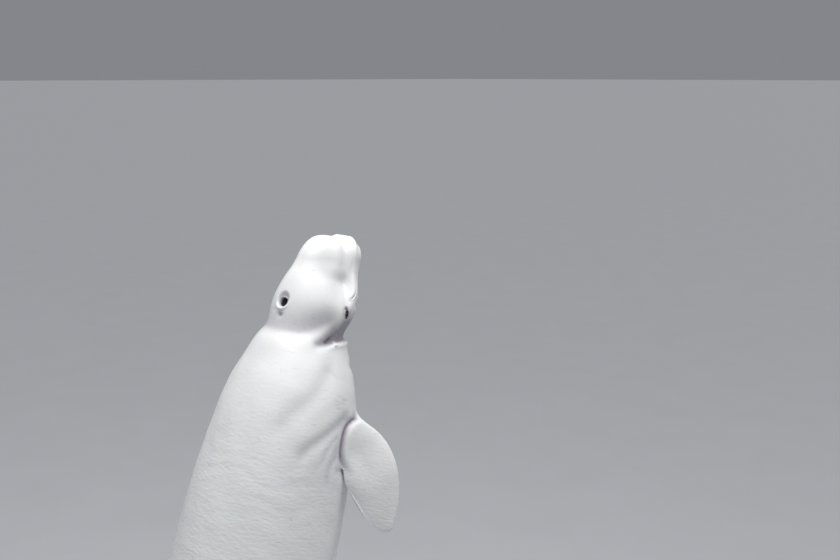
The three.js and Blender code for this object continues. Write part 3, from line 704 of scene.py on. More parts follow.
def blowhole_forms(points):
    """The open blowhole: a bowl with a plug in front and a raised rim behind, and a dimple on the nape. The
    bowl's front slope, the hole and the dimple get painted shade.
    """
    s, x, d = points.T
    top = d > BACK_FROM
    back = s - BLOWHOLE["s"]
    aside = x - BLOWHOLE["x"]
    bowl = 1 - smooth(((back + 6) / 50) ** 2 + (aside / 50) ** 2, 0.1, 1.1)
    hole = 1 - smooth(np.abs((back - 4) / 25) ** 2.2 + np.abs(aside / 31) ** 2.2, 0.4, 1.15)
    plug = 1 - smooth(((back + 18) / 10) ** 2 + (aside / 24) ** 2, 0.2, 1.2)
    rim = bell(np.hypot(back, aside * 0.86) - 38, 9) * bell(np.arctan2(aside, back), 1.3)
    dimple = bell(back - 68, 13) * bell(aside - 8, 20)
    rise = -12 * bowl - 24 * hole + 5 * plug + 9 * rim - 9 * dimple
    # painted shade: the bowl's front slope, the hole and the nape's dimple darkened
    dark = np.clip(0.6 * bowl * (1 - 0.9 * rim) * (back < 34) + hole + 0.6 * dimple, 0, 1)
    return rise * top, dark * top, plug * top


def neck_forms(s, turn, arc):
    """The hollow under the jaw: it opens towards the throat and ends in a firm edge at the shoulder. The
    hollow and the throat also get painted shade, weaker under the throat.
    """
    away, where, side = path_distance(NECK_EDGE, s, arc)
    opened = smooth(where, 0.03, 0.42)
    firm = smooth(where, 0.14, 0.4)
    hollow = np.where(side < 0, bell(away, 14 + 74 * opened), bell(away, 30 - 17 * firm))
    shoulder = np.where(side > 0, bell(away - 26, 16), 0)
    # Painted shade: the hollow and the throat are darkened where shade falls under the jaw, kept under an
    # opening's painted shade and faded under the throat
    throat = smooth(turn, 92, 112) * bell(s - 458, 66)
    shade = np.where(side < 0, bell(away, 14 + 62 * opened), bell(away, 26 - 18 * firm))
    painted_neck_shade = smooth(where, 0.02, 0.3) * shade + 0.6 * throat
    painted_neck_shade = np.minimum(painted_neck_shade, PAINTED_SHADE_MOST) * (1 - 0.75 * smooth(turn, 136, 168))
    return opened * (3 * firm * shoulder - 26 * hollow), painted_neck_shade


def ridge_forms(points):
    """The low notched ridge that stands along the back in place of a fin."""
    s, x, d = points.T
    share = np.clip((s - RIDGE["from"]) / (RIDGE["to"] - RIDGE["from"]), 0, 1)
    rise = np.sin(np.pi * np.minimum(share * 0.96 + 0.02, 1)) ** 0.6 * (share > 0) * (share < 1)
    notched = 1 - RIDGE["notch"] * np.abs(np.sin(share * math.pi * RIDGE["notches"])) ** 0.7
    half = RIDGE["half"] * (0.45 + 0.65 * rise) + 3
    profile = 1 - smooth(np.abs(x), 0.15 * half, 1.25 * half)
    return (d > BACK_FROM) * profile * rise * notched * RIDGE["high"]


def belly_forms(points):
    """Navel, slit and vent along the middle of the belly, each darkened with painted shade."""
    s, x, d = points.T
    under = d < -60
    navel = bell(np.hypot((s - NAVEL) / 1.4, x), 11)
    slit = bell(x, 5.5) * smooth(s, 2650, 2690) * (1 - smooth(s, 2830, 2880))
    beside_slit = bell(np.abs(x) - 16, 11) * smooth(s, 2640, 2700) * (1 - smooth(s, 2820, 2890))
    vent = bell(np.hypot((s - VENT) / 1.8, x), 7)
    rise = -9 * navel - 9 * slit + 4 * beside_slit - 7 * vent
    # painted shade inside the navel, slit and vent
    return under * rise, under * np.clip(navel * 0.6 + slit * 0.8 + vent * 0.8, 0, 1)


def wanted_size(points):
    """How long an edge of the skin may be, in mm: short near a small form, and longer away from it."""
    s, _, arc = unrolled(points)
    _, x, d = points.T
    off_back = FAR * (d < BACK_FROM)
    off_belly = FAR * (d > 0)
    lip = d - MOUTH_AT(np.clip(s, MOUTH[0][0], MOUTH[-1][0]))
    past_ridge = np.maximum(np.maximum(RIDGE["from"] - s, s - RIDGE["to"]), 0)
    past_slit = np.maximum(np.maximum(SLIT["from"] - s, s - SLIT["to"]), 0)
    forms = (  # shortest edge, how far that reaches, growth beyond, distance from the form
        (1.3, 26, 0.2, np.linalg.norm(folded(points) - EYE_AT, axis=1)),
        (2.6, 12, 0.3, np.hypot(lip, np.maximum(s - MOUTH[-1][0], 0)) + FAR * (s >= LIPS_END)),
        (2.4, 56, 0.2, np.hypot(s - BLOWHOLE["s"] - 8, x - BLOWHOLE["x"]) + off_back),
        (5.5, 0, 0.35, np.hypot(np.maximum(np.abs(x) - 12, 0), past_ridge) + off_back),
        (4.6, 18, 0.4, path_distance(FLIPPER_CREASE, s, arc)[0]),
        (3.8, 20, 0.4, path_distance(NECK_EDGE, s, arc)[0]),
        (5, 14, 0.4, np.hypot(x, past_slit) + off_belly),
        (5, 20, 0.4, np.hypot(x, s - NAVEL) + off_belly),
    )
    size = np.full(len(s), 40.0)
    for shortest, reach, growth, away in forms:
        size = np.minimum(size, shortest + np.maximum(away - reach, 0) * growth)
    return size


# Finer faces round the small forms
DOUBLES = 0.02
DIVIDED_TIMES = 3
TOO_BIG = 1.35  # a face this much larger than wanted is divided
LAID_TIMES = 4
LAID_STEP = 6


def eased(points, faces, rims):
    """The skin with its bends round the flippers' roots eased: each vertex moves between its neighbours."""
    away = np.full(len(points), 1e9)
    for rim in rims:
        away = np.minimum(away, np.linalg.norm(points - rim, axis=1))
    share = EASED_STEP * bell(away, EASED_REACH)
    pairs = np.array([(face[i - 1], face[i]) for face in faces for i in range(len(face))])
    pairs = np.unique(np.sort(pairs, axis=1), axis=0)
    pairs = pairs[(share[pairs] > EASED_LEAST).any(axis=1)]
    count = np.zeros(len(points))
    np.add.at(count, pairs.ravel(), 1)
    for _ in range(EASED_TIMES):
        total = np.zeros_like(points)
        np.add.at(total, pairs[:, 0], points[pairs[:, 1]])
        np.add.at(total, pairs[:, 1], points[pairs[:, 0]])
        middle = total / np.maximum(count, 1)[:, None]
        moved = points + (middle - points) * share[:, None]
        points = np.where((share > EASED_LEAST)[:, None], moved, points)
    return points


def refined(points, faces, free):
    """The grid with its faces divided where small forms need it, and the new vertices laid on the body."""
    mesh = bmesh.new()
    loose = mesh.verts.layers.float.new("free")
    made = []
    for point, value in zip(points.tolist(), free.tolist()):
        vertex = mesh.verts.new(point)
        vertex[loose] = value
        made.append(vertex)
    for face in faces:
        mesh.faces.new([made[i] for i in face])
    bmesh.ops.remove_doubles(mesh, verts=mesh.verts[:], dist=DOUBLES)
    under_flippers = [vertex for vertex in mesh.verts if not vertex.link_faces]
    bmesh.ops.delete(mesh, geom=under_flippers, context="VERTS")
    for _ in range(DIVIDED_TIMES):
        mesh.faces.ensure_lookup_table()
        found = list(mesh.faces)
        middles = np.array([face.calc_center_median()[:] for face in found])
        sizes = np.array([face.calc_area() for face in found]) ** 0.5
        wanted = wanted_size(middles)
        big = [face for face, is_big in zip(found, sizes > TOO_BIG * wanted) if is_big]
        chosen = {edge for face in big for edge in face.edges}
        if not chosen:
            break
        bmesh.ops.subdivide_edges(mesh, edges=list(chosen), cuts=1, use_grid_fill=True, use_single_edge=True)
    bmesh.ops.triangulate(mesh, faces=[face for face in mesh.faces if len(face.verts) > 4])
    bmesh.ops.recalc_face_normals(mesh, faces=mesh.faces[:])
    mesh.verts.index_update()
    co = np.array([vertex.co[:] for vertex in mesh.verts], float)
    free = np.array([vertex[loose] for vertex in mesh.verts])
    out = [tuple(vertex.index for vertex in face.verts) for face in mesh.faces]
    mesh.free()
    fixed = free < 0.01
    lying = co[fixed]
    for _ in range(LAID_TIMES):
        slope = slope_at(lying)
        steep = np.sum(slope**2, axis=1)
        step = whale_distance(*lying.T) / np.maximum(steep, 0.2)
        lying = lying - slope * np.clip(step, -LAID_STEP, LAID_STEP)[:, None]
    co[fixed] = lying
    return eased(co, out, patch_rims()), out, free


def mesh_normals(points, faces):
    """Normals of vertices from the faces round them."""
    triangles = np.array([(f[0], f[i], f[i + 1]) for f in faces for i in range(1, len(f) - 1)])
    a, b, c = (points[triangles[:, i]] for i in range(3))
    across = np.cross(b - a, c - a)
    normals = np.zeros_like(points)
    for i in range(3):
        np.add.at(normals, triangles[:, i], across)
    return unit(normals)


def fold_forms(s, arc):
    """Each fold as a soft valley with painted shade in it, with a low swell beside it, and the fine lines,
    also with painted shade.

    A path that starts on the back's middle or ends on the belly's keeps its depth there.
    """
    rise = np.zeros(len(s))
    dark = np.zeros(len(s))
    for path, deep, left, right, shade in FOLDS:
        away, where, side = path_distance(path, s, arc)
        wide = np.where(side < 0, left, right)
        ends = smooth(where, 0, 0.16) if path[0][1] > 1 else 1.0
        ends = ends * (1 - smooth(where, 0.72, 1)) if path[-1][1] < 179 else ends
        swell = bell(away - 2.1 * wide, 1.1 * wide) * np.where(wide < 30, 0.35, 0.12)
        swell = swell * (path is not FLIPPER_CREASE)
        rise += ends * deep * (swell - bell(away, wide))
        # painted shade deep in the fold
        dark += ends * shade * bell(away, wide * 0.8)
    for path in FINE_LINES:
        away, where, _ = path_distance(path, s, arc)
        ends = smooth(where, 0, 0.2) * (1 - smooth(where, 0.8, 1))
        rise += ends * (0.9 * bell(away - 7, 5) - 2 * bell(away, 4))
        # painted shade along the fine line
        dark += ends * 0.2 * bell(away, 3)
    return rise, dark


def swell_forms(points, s):
    """The soft unevenness of blubber, and faint rings round the trunk."""
    swell = wobble(points, 420, 3) * 2.2 + wobble(points, 170, 5) * 0.9
    lines = np.sin(s / 15 + 2.2 * wobble(points, 260, 8)) * (0.5 + 0.5 * wobble(points, 330, 9))
    return (
        swell * smooth(s, 300, 900) * (1 - smooth(s, 3600, 4100))
        + 0.55 * lines * smooth(s, 1000, 1300) * (1 - smooth(s, 3300, 3900))
    )


def skin_relief(points, free):
    """How far the skin stands out at each vertex, how much painted shade it has (with the eye's grey ring)
    and how rosy it is there.
    """
    s, turn, arc = unrolled(points)
    bound = 1 - free
    rise, dark = fold_forms(s, arc)
    hollow, shaded = neck_forms(s, turn, arc)
    rise += hollow
    dark += shaded
    hole_rise, hole_dark, plug = blowhole_forms(points)
    for form_rise, form_dark in (mouth_forms(points), (hole_rise, hole_dark), belly_forms(points)):
        rise += form_rise * bound
        dark += form_dark * bound
    rise += ridge_forms(points) * bound
    lids, eye_dark, rim, eye_away = eye_forms(points)
    near_eye = (eye_away < LID["reach"]) & (s < FACE_END)
    rise = np.where(near_eye, lids + rise * smooth(eye_away, 16, 32), rise)
    dark += np.where(near_eye, eye_dark, 0)
    mole_arc = arc - math.radians(MOLE["turn"]) * girth(MOLE["s"])
    mole = np.hypot(s - MOLE["s"], mole_arc)
    rise += MOLE["rise"] * bell(mole, MOLE["wide"])
    # The neck's painted shade is taken off the mole, which stands in the light, and a painted shadow lies
    # just behind it
    dark *= 1 - 0.8 * bell(mole, 12)
    dark += 0.8 * bell(np.hypot(s - MOLE["s"] - MOLE["shadow_behind"], mole_arc), 6)
    ear = np.linalg.norm(folded(points) - beside(EAR["s"], EAR["d"]), axis=1)
    rise -= 2.5 * bell(ear, 3)
    # painted shade in the ear's small pit
    dark += 0.6 * bell(ear, 3)
    rise += swell_forms(points, s) * bound
    rosy = np.clip(bell(eye_away, 26) * (s < FACE_END) + 0.5 * plug + 0.4 * rim, 0, 1)
    return rise, np.clip(dark, 0, 1), rosy


# Materials
COLOUR_MIX_INPUTS = (0, 6, 7)  # share, one and other colour of a Mix node
COLOUR_MIX_OUTPUT = 2


class Recipe:
    """A material's node tree, built a node at a time."""

    def __init__(self, name):
        self.material = bpy.data.materials.new(name)
        self.material.use_nodes = True
        self.tree = self.material.node_tree
        self.shader = self.tree.nodes["Principled BSDF"]

    def node(self, kind, inputs=None, **settings):
        """A new node with its settings, its inputs fed by name."""
        made = self.tree.nodes.new(kind)
        for key, value in settings.items():
            setattr(made, key, value)
        for key, value in (inputs or {}).items():
            self.feed(made.inputs[key], value)
        return made

    def feed(self, socket, value):
        """Links an output to a socket, or gives the socket a plain value."""
        if isinstance(value, bpy.types.NodeSocket):
            self.tree.links.new(value, socket)
        else:
            socket.default_value = value

    def shade(self, **inputs):
        for key, value in inputs.items():
            self.feed(self.shader.inputs[key.replace("_", " ")], value)

    def attribute(self, name, output="Fac"):
        return self.node("ShaderNodeAttribute", attribute_name=name).outputs[output]

    def place(self, scale=(1, 1, 1), attribute=None):
        """Object coordinates, or those that an attribute holds, scaled along each axis."""
        if attribute:
            source = self.attribute(attribute, "Vector")
        else:
            source = self.node("ShaderNodeTexCoord").outputs["Object"]
        return self.node("ShaderNodeMapping", {"Vector": source, "Scale": scale}).outputs["Vector"]

    def noise(self, place, scale, detail=3.0, rough=0.55, distort=0.0):
        inputs = {"Vector": place, "Scale": scale, "Detail": detail}
        inputs |= {"Roughness": rough, "Distortion": distort}
        return self.node("ShaderNodeTexNoise", inputs).outputs["Fac"]

    def span(self, value, low, high, to_low=0.0, to_high=1.0):
        inputs = {"Value": value, "From Min": low, "From Max": high, "To Min": to_low, "To Max": to_high}
        return self.node("ShaderNodeMapRange", inputs).outputs["Result"]

    def math(self, operation, one, other=0.0):
        made = self.node("ShaderNodeMath", operation=operation)
        self.feed(made.inputs[0], one)
        self.feed(made.inputs[1], other)
        return made.outputs[0]

    def mix(self, share, one, other):
        made = self.node("ShaderNodeMix", data_type="RGBA")
        for place, value in zip(COLOUR_MIX_INPUTS, (share, one, other)):
            self.feed(made.inputs[place], value)
        return made.outputs[COLOUR_MIX_OUTPUT]

    def over(self, colour, mask, share, tint):
        """A colour with a tint laid over it where the mask says."""
        return self.mix(self.math("MULTIPLY", mask, share), colour, rgba(tint))

    def bump(self, height, strength, distance, under=None):
        inputs = {"Height": height, "Strength": strength, "Distance": distance}
        if under:
            inputs["Normal"] = under
        return self.node("ShaderNodeBump", inputs).outputs["Normal"]


def rgba(colour):
    """A colour with full cover."""
    return (*colour[:3], 1.0)


def skin_material(look):
    """White skin: clouds, streaks and scars, painted shade in the folds, hollows and openings, and ripples,
    wrinkles and pores.
    """
    skin = Recipe("Whale skin")
    here = skin.place()
    lie = skin.place(attribute="lie")
    clouds = skin.span(skin.noise(here, 2.6, 4.0), 0.35, 0.7)
    colour = skin.over(rgba(look.skin), clouds, 0.35, look.skin_cool)
    patches = skin.span(skin.noise(here, 9.0, 5.0, 0.6), 0.52, 0.75)
    colour = skin.over(colour, patches, 0.18, look.skin_warm)
    long_way = skin.place((5.0, 60.0, 60.0), "lie")
    streaks = skin.span(skin.noise(long_way, 1.0, 5.0, 0.65, 0.4), 0.63, 0.72)
    colour = skin.over(colour, streaks, 0.07, look.crease)
    round_way = skin.place((90.0, 9.0, 9.0), "lie")
    scars = skin.span(skin.noise(round_way, 1.0, 3.0, 0.5, 1.2), 0.66, 0.7)
    colour = skin.over(colour, scars, 0.14, look.crease)
    colour = skin.over(colour, skin.attribute("rosy"), 0.35, look.blush)
    # Painted shade from the dark attribute, in the crease colour and a little mottled
    dark = skin.attribute("dark")
    mottled_shade = skin.math("MULTIPLY", dark, skin.span(skin.noise(here, 60.0, 3.0), 0.2, 0.7, 0.75, 1.0))
    colour = skin.over(colour, mottled_shade, look.crease_shade_strength, look.crease)
    # The deepest painted shade turns near-black: painted shade in the openings and deepest creases
    colour = skin.mix(skin.span(dark, 0.8, 1.0), colour, rgba(look.pit))
    station = skin.node("ShaderNodeSeparateXYZ", {"Vector": lie}).outputs["X"]
    flank = skin.span(station, 0.6, 1.35, 0.12, 1.0)
    ripples = skin.noise(skin.place((74.0, 30.0, 30.0), "lie"), 1.0, 2.0, 0.45, 0.15)
    waves = skin.bump(ripples, skin.math("MULTIPLY", flank, look.ripples), 0.005)
    wrinkles = skin.noise(skin.place((190.0, 110.0, 110.0), "lie"), 1.0, 3.0, 0.6, 0.1)
    waves = skin.bump(wrinkles, 0.1, 0.0012, waves)
    pores = skin.noise(here, 420.0, 2.0)
    waves = skin.bump(pores, 0.12, 0.0006, waves)
    waves = skin.bump(skin.math("ADD", scars, streaks), 0.15, -0.001, waves)
    roughness = skin.span(skin.noise(here, 14.0, 4.0), 0.3, 0.7, look.roughness - 0.06, look.roughness + 0.08)
    skin.shade(
        Base_Color=colour, Roughness=roughness, Normal=waves, IOR=1.4,
        Subsurface_Weight=0.22, Subsurface_Radius=(1.0, 0.75, 0.65), Subsurface_Scale=0.012,
        Coat_Weight=0.18, Coat_Roughness=0.28,
    )
    return skin.material


def eye_material(look):
    """A wet dark eye: pupil, brown iris and the dark edge, by the angle from the middle."""
    eye = Recipe("Whale eye")
    ring = eye.attribute("ring")
    streaks = eye.noise(eye.place(), 520.0, 3.0)
    iris = eye.mix(eye.span(streaks, 0.3, 0.7), rgba(look.iris), (0.012, 0.008, 0.006, 1))
    colour = eye.mix(eye.span(ring, 0.40, 0.46), (0.003, 0.003, 0.004, 1), iris)
    colour = eye.mix(eye.span(ring, 0.72, 0.8), colour, (0.02, 0.014, 0.012, 1))
    eye.shade(Base_Color=colour, Roughness=0.15, IOR=1.38, Coat_Weight=1.0, Coat_Roughness=0.03)
    return eye.material


def paint_material(look):
    """Dull dark paint with a fine grain and some scuffs."""
    paint = Recipe("Stand paint")
    here = paint.place()
    grain = paint.noise(here, 900.0, 2.0)
    cloud = paint.span(paint.noise(here, 3.0, 4.0), 0.3, 0.7)
    colour = paint.over(rgba(look.base), cloud, 0.35, look.base_worn)
    scuffs = paint.span(paint.noise(paint.place((4, 30, 30)), 1.0, 5.0, 0.7), 0.66, 0.74)
    colour = paint.over(colour, scuffs, 0.3, look.base_worn)
    roughness = paint.span(paint.noise(here, 40.0, 3.0), 0.3, 0.7, 0.42, 0.58)
    paint.shade(Base_Color=colour, Roughness=roughness, Normal=paint.bump(grain, 0.35, 0.0004))
    return paint.material


def steel_material(look):
    """Steel brushed round the rods."""
    steel = Recipe("Brushed steel")
    brushed = steel.noise(steel.place((1400.0, 1400.0, 6.0)), 1.0, 3.0, 0.6)
    cloud = steel.noise(steel.place(), 18.0, 3.0)
    colour = steel.mix(steel.span(cloud, 0.3, 0.7), rgba(look.steel), (0.5, 0.51, 0.53, 1))
    roughness = steel.span(brushed, 0.3, 0.7, 0.24, 0.4)
    steel.shade(Base_Color=colour, Metallic=1.0, Roughness=roughness, Normal=steel.bump(brushed, 0.2, 0.0002))
    return steel.material


def pad_material():
    """Dark felt."""
    pad = Recipe("Felt pad")
    fibres = pad.noise(pad.place(), 700.0, 4.0, 0.7)
    colour = pad.mix(pad.span(fibres, 0.3, 0.7), (0.035, 0.036, 0.04, 1), (0.07, 0.07, 0.075, 1))
    pad.shade(Base_Color=colour, Roughness=0.95, Normal=pad.bump(fibres, 0.6, 0.0006))
    return pad.material


def floor_material(look):
    """Pale matt floor with faint clouds."""
    floor = Recipe("Studio floor")
    cloud = floor.noise(floor.place(), 1.3, 3.0)
    colour = floor.mix(floor.span(cloud, 0.2, 0.8), rgba(look.floor), rgba([c * 0.96 for c in look.floor]))
    floor.shade(Base_Color=colour, Roughness=0.7)
    return floor.material


# Making pieces
def placed(name, data):
    """An object of some data, in the scene."""
    made = bpy.data.objects.new(name, data)
    bpy.context.scene.collection.objects.link(made)
    return made


def new_piece(name, points, faces, materials, attributes=None):
    """A smooth object from points and faces, with fields of numbers or vectors on its vertices."""
    mesh = bpy.data.meshes.new(name)
    mesh.from_pydata([tuple(p) for p in points], [], faces)
    for key, values in (attributes or {}).items():
        values = np.asarray(values, np.float32)
        kind = "FLOAT" if values.ndim == 1 else "FLOAT_VECTOR"
        field = mesh.attributes.new(key, kind, "POINT")
        field.data.foreach_set("value" if values.ndim == 1 else "vector", values.ravel())
    for material in materials:
        mesh.materials.append(material)
    mesh.shade_smooth()
    mesh.update()
    return placed(name, mesh)


def finish_piece(piece, slot, *nodes):
    """Hangs the piece on the root and hides the nodes it stands for; its slot, for its finish, is not used.
    """
    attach(piece, "root")
    if nodes:
        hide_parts(*nodes)


def turned(profile, steps):
    """Points and faces of a closed shape turned round the z axis, from rows of radius and height."""
    points = [(0, 0, profile[0][1]), (0, 0, profile[-1][1])]
    faces = []
    rows = profile[1:-1]
    for radius, height in rows:
        for i in range(steps):
            turn = 2 * math.pi * i / steps
            points.append((radius * math.cos(turn), radius * math.sin(turn), height))
    last = 2 + (len(rows) - 1) * steps
    for i in range(steps):
        after = (i + 1) % steps
        faces.append((0, 2 + i, 2 + after))
        faces.append((1, last + after, last + i))
        for row in range(2, last, steps):
            faces.append((row + after, row + i, row + steps + i, row + steps + after))
    return np.array(points, float), faces


def faced_out(piece):
    """Merges doubles and turns every face outwards."""
    mesh = bmesh.new()
    mesh.from_mesh(piece.data)
    bmesh.ops.remove_doubles(mesh, verts=mesh.verts[:], dist=1e-6)
    bmesh.ops.recalc_face_normals(mesh, faces=mesh.faces[:])
    mesh.to_mesh(piece.data)
    mesh.free()
    piece.data.update()


class WhaleLook(bpy.types.PropertyGroup):
    """Colours and depths of the whale's skin and eyes."""

    skin: FloatVectorProperty(
        name="Skin", description="Main white", subtype="COLOR", default=(0.86, 0.862, 0.85)
    )
    skin_cool: FloatVectorProperty(
        name="Cool patches", description="Soft grey in the white", subtype="COLOR", default=(0.7, 0.7, 0.73)
    )
    skin_warm: FloatVectorProperty(
        name="Warm patches", description="Cream in the white", subtype="COLOR", default=(0.84, 0.8, 0.72)
    )
    # The colour of the painted shade in folds and hollows, which also tints the streaks and scars
    crease: FloatVectorProperty(
        name="Creases", description="Grey deep in the folds", subtype="COLOR", default=(0.13, 0.09, 0.155)
    )
    # Near-black painted shade of the openings
    pit: FloatVectorProperty(
        name="Pits", description="Dark of the openings", subtype="COLOR", default=(0.03, 0.028, 0.035)
    )
    blush: FloatVectorProperty(
        name="Blush", description="Tint round eyes and blowhole", subtype="COLOR", default=(0.72, 0.6, 0.6)
    )
    iris: FloatVectorProperty(
        name="Iris", description="Brown of the eye", subtype="COLOR", default=(0.02, 0.012, 0.008)
    )
    # How strong the painted shade in the folds is
    crease_shade_strength: FloatProperty(
        name="Crease tone", description="How dark folds are", default=0.96, min=0, max=1, subtype="FACTOR"
    )
    ripples: FloatProperty(
        name="Ripples", description="Depth of the fine ripples", default=0.4, min=0, max=1, subtype="FACTOR"
    )
    roughness: FloatProperty(
        name="Roughness", description="Dullness of the skin", default=0.42, min=0.1, max=0.9, subtype="FACTOR"
    )
    relief: FloatProperty(
        name="Relief", description="Depth of the folds", default=1.0, min=0, max=2, subtype="FACTOR"
    )


class StandLook(bpy.types.PropertyGroup):
    """Sizes and colours of the display stand."""

    bevel: FloatProperty(
        name="Base edge", description="Round of the base's edges", default=0.008, unit="LENGTH"
    )
    screws: IntProperty(name="Screws", description="Screws in each rod's foot", default=6, min=3, max=12)
    screw: FloatProperty(
        name="Screw radius", description="Radius of a screw's head", default=0.007, unit="LENGTH"
    )
    base: FloatVectorProperty(
        name="Base", description="Paint of the base", subtype="COLOR", default=(0.045, 0.048, 0.055)
    )
    base_worn: FloatVectorProperty(
        name="Worn paint", description="Rubbed paint", subtype="COLOR", default=(0.11, 0.115, 0.125)
    )
    steel: FloatVectorProperty(
        name="Rods", description="Steel of the rods", subtype="COLOR", default=(0.62, 0.63, 0.66)
    )


class StageLook(bpy.types.PropertyGroup):
    """The floor, the light and the camera."""

    floor: FloatVectorProperty(
        name="Floor", description="Pale floor", subtype="COLOR", default=(0.46, 0.47, 0.485)
    )
    air: FloatVectorProperty(
        name="Air", description="Light from all round", subtype="COLOR", default=(0.72, 0.74, 0.8)
    )
    air_strength: FloatProperty(
        name="Air strength", description="Strength of that light", default=0.32, min=0, max=3
    )
    key: FloatProperty(name="Key light", description="Power of the main light", default=425, unit="POWER")
    floor_light: FloatProperty(name="Floor light", description="Even light on the floor", default=1.65, min=0)
    lens: FloatProperty(name="Lens", description="Focal length", default=50.0, min=20, max=120, unit="CAMERA")


class BELUGA_OT_skin(bpy.types.Operator):
    """Make the one skin that covers the head, the body, the flippers, the flukes and the ridge"""

    bl_idname = "beluga.skin"
    bl_label = "Skin"

    def execute(self, context):
        look = context.scene.beluga_whale
        points, faces, free = refined(*build_grid())
        rise, dark, rosy = skin_relief(points, free)
        shaped = points + mesh_normals(points, faces) * (rise * look.relief)[:, None]
        # dark holds the painted shade of folds, hollows and openings, with the eye's grey ring
        attributes = {"dark": dark, "rosy": rosy, "lie": points * MM}
        skin = new_piece("whale_skin", posed(shaped), faces, [skin_material(look)], attributes)
        faced_out(skin)
        finish_piece(skin, "skin", *FLESH)
        return {"FINISHED"}


EYE_ROWS = 28
EYE_STEPS = 48


class BELUGA_OT_eyes(bpy.types.Operator):
    """Make the two eyeballs between the lids"""

    bl_idname = "beluga.eyes"
    bl_label = "Eyes"

    def execute(self, context):
        material = eye_material(context.scene.beluga_whale)
        angles = [math.pi * row / EYE_ROWS for row in range(1, EYE_ROWS)]
        profile = [(0, 1), *((math.sin(angle), math.cos(angle)) for angle in angles), (0, -1)]
        ball, faces = turned(profile, EYE_STEPS)
        ring = np.arccos(np.clip(ball[:, 2], -1, 1))
        for side, name in ((1, "right"), (-1, "left")):
            mirror = np.array([1, side, 1])
            out = EYE_OUT * mirror
            along = EYE_ALONG * mirror
            up = np.cross(out, along)
            local = ball[:, :1] * along + ball[:, 1:2] * up + ball[:, 2:] * out
            points = posed(EYE_HEART * mirror + local * EYE["radius"])
            eye = new_piece(f"eyeball_{name}", points, faces, [material], {"ring": ring})
            faced_out(eye)
            finish_piece(eye, "eye", f"eye_{name}")
        return {"FINISHED"}


class BELUGA_OT_base(bpy.types.Operator):
    """Make the stand's base plate with rounded corners and edges"""

    bl_idname = "beluga.base"
    bl_label = "Stand base"

    def execute(self, context):
        look = context.scene.beluga_stand
        low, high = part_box("stand_base")
        mesh = bmesh.new()
        bmesh.ops.create_cube(mesh, size=1)
        for vertex in mesh.verts:
            vertex.co = (high + low) / 2 + vertex.co * (high - low)
        rounding = {"offset": look.bevel, "segments": 5, "profile": 0.5, "affect": "EDGES"}
        bmesh.ops.bevel(mesh, geom=mesh.edges[:], **rounding)
        data = bpy.data.meshes.new("stand_plate")
        mesh.to_mesh(data)
        mesh.free()
        data.materials.append(paint_material(look))
        data.shade_smooth()
        finish_piece(placed("stand_plate", data), "base", "stand_base")
        return {"FINISHED"}


SCREW_TURN = 1.1  # how much further each screw is turned than the one before, in radians
SCREW_SIDES = 12
SCREW_PROFILE = (  # radius and height, for a head of radius 1
    (0, 0.14), (0.42, 0.14), (0.42, 0.5), (0.46, 0.54), (0.8, 0.5),
    (0.94, 0.44), (1.0, 0.32), (1.0, -0.2), (0.95, -0.35), (0, -0.35),
)
SCREW_INPUTS = {
    "Count": "NodeSocketInt", "Circle radius": "NodeSocketFloat", "Screw radius": "NodeSocketFloat",
    "Head": "NodeSocketObject", "Finish": "NodeSocketMaterial",
}
SCREW_NODES = {
    "in": "NodeGroupInput", "circle": "GeometryNodeMeshCircle", "head": "GeometryNodeObjectInfo",
    "spread": "GeometryNodeInstanceOnPoints", "index": "GeometryNodeInputIndex", "turn": "ShaderNodeMath",
    "upright": "ShaderNodeCombineXYZ", "real": "GeometryNodeRealizeInstances",
    "finish": "GeometryNodeSetMaterial", "out": "NodeGroupOutput",
}
SCREW_LINKS = (  # from a node's output to a node's input
    ("in", "Count", "circle", "Vertices"), ("in", "Circle radius", "circle", "Radius"),
    ("in", "Head", "head", "Object"), ("circle", "Mesh", "spread", "Points"),
    ("head", "Geometry", "spread", "Instance"), ("in", "Screw radius", "spread", "Scale"),
    ("index", "Index", "turn", 0), ("turn", "Value", "upright", "Z"),
    ("upright", "Vector", "spread", "Rotation"), ("spread", "Instances", "real", "Geometry"),
    ("real", "Geometry", "finish", "Geometry"), ("in", "Finish", "finish", "Material"),
    ("finish", "Geometry", "out", "Geometry"),
)


def screw_tree():
    """Geometry Nodes that set countersunk screw heads round a circle, as plain mesh."""
    tree = bpy.data.node_groups.new("Screws round a foot", "GeometryNodeTree")
    socket = tree.interface.new_socket
    inputs = {name: socket(name, in_out="INPUT", socket_type=kind) for name, kind in SCREW_INPUTS.items()}
    socket("Geometry", in_out="OUTPUT", socket_type="NodeSocketGeometry")
    nodes = {name: tree.nodes.new(kind) for name, kind in SCREW_NODES.items()}
    nodes["turn"].operation = "MULTIPLY"
    nodes["turn"].inputs[1].default_value = SCREW_TURN
    for one, leaving, other, entering in SCREW_LINKS:
        tree.links.new(nodes[one].outputs[leaving], nodes[other].inputs[entering])
    return tree, inputs


def screw_head():
    """A domed head of radius 1 with a round socket, standing on z = 0 and sunk a little below it."""
    points, faces = turned(SCREW_PROFILE, SCREW_SIDES)
    mesh = bpy.data.meshes.new("screw_head")
    mesh.from_pydata([tuple(p) for p in points], [], faces)
    piece = placed("screw_head", mesh)
    faced_out(piece)
    return piece


ROD_STEPS = 72
RODS = (("front", 2820, 0.038, 0.092), ("rear", 3640, 0.034, 0.084))  # station, rod's and foot's radius
ROD_INTO_SKIN = 0.004
FOOT_HIGH = 0.014
COLLAR = (  # how far out from the rod and how far below the skin, in m
    (0.0, 0.06), (0.0035, 0.058), (0.0045, 0.05), (0.0045, -0.012), (0.0, -0.014),
)


FOOT_BEVEL = 0.004
FOOT_WELD = 0.006
SOFT = 0.3  # where a bevel of three points has its middle one, as a share of its width


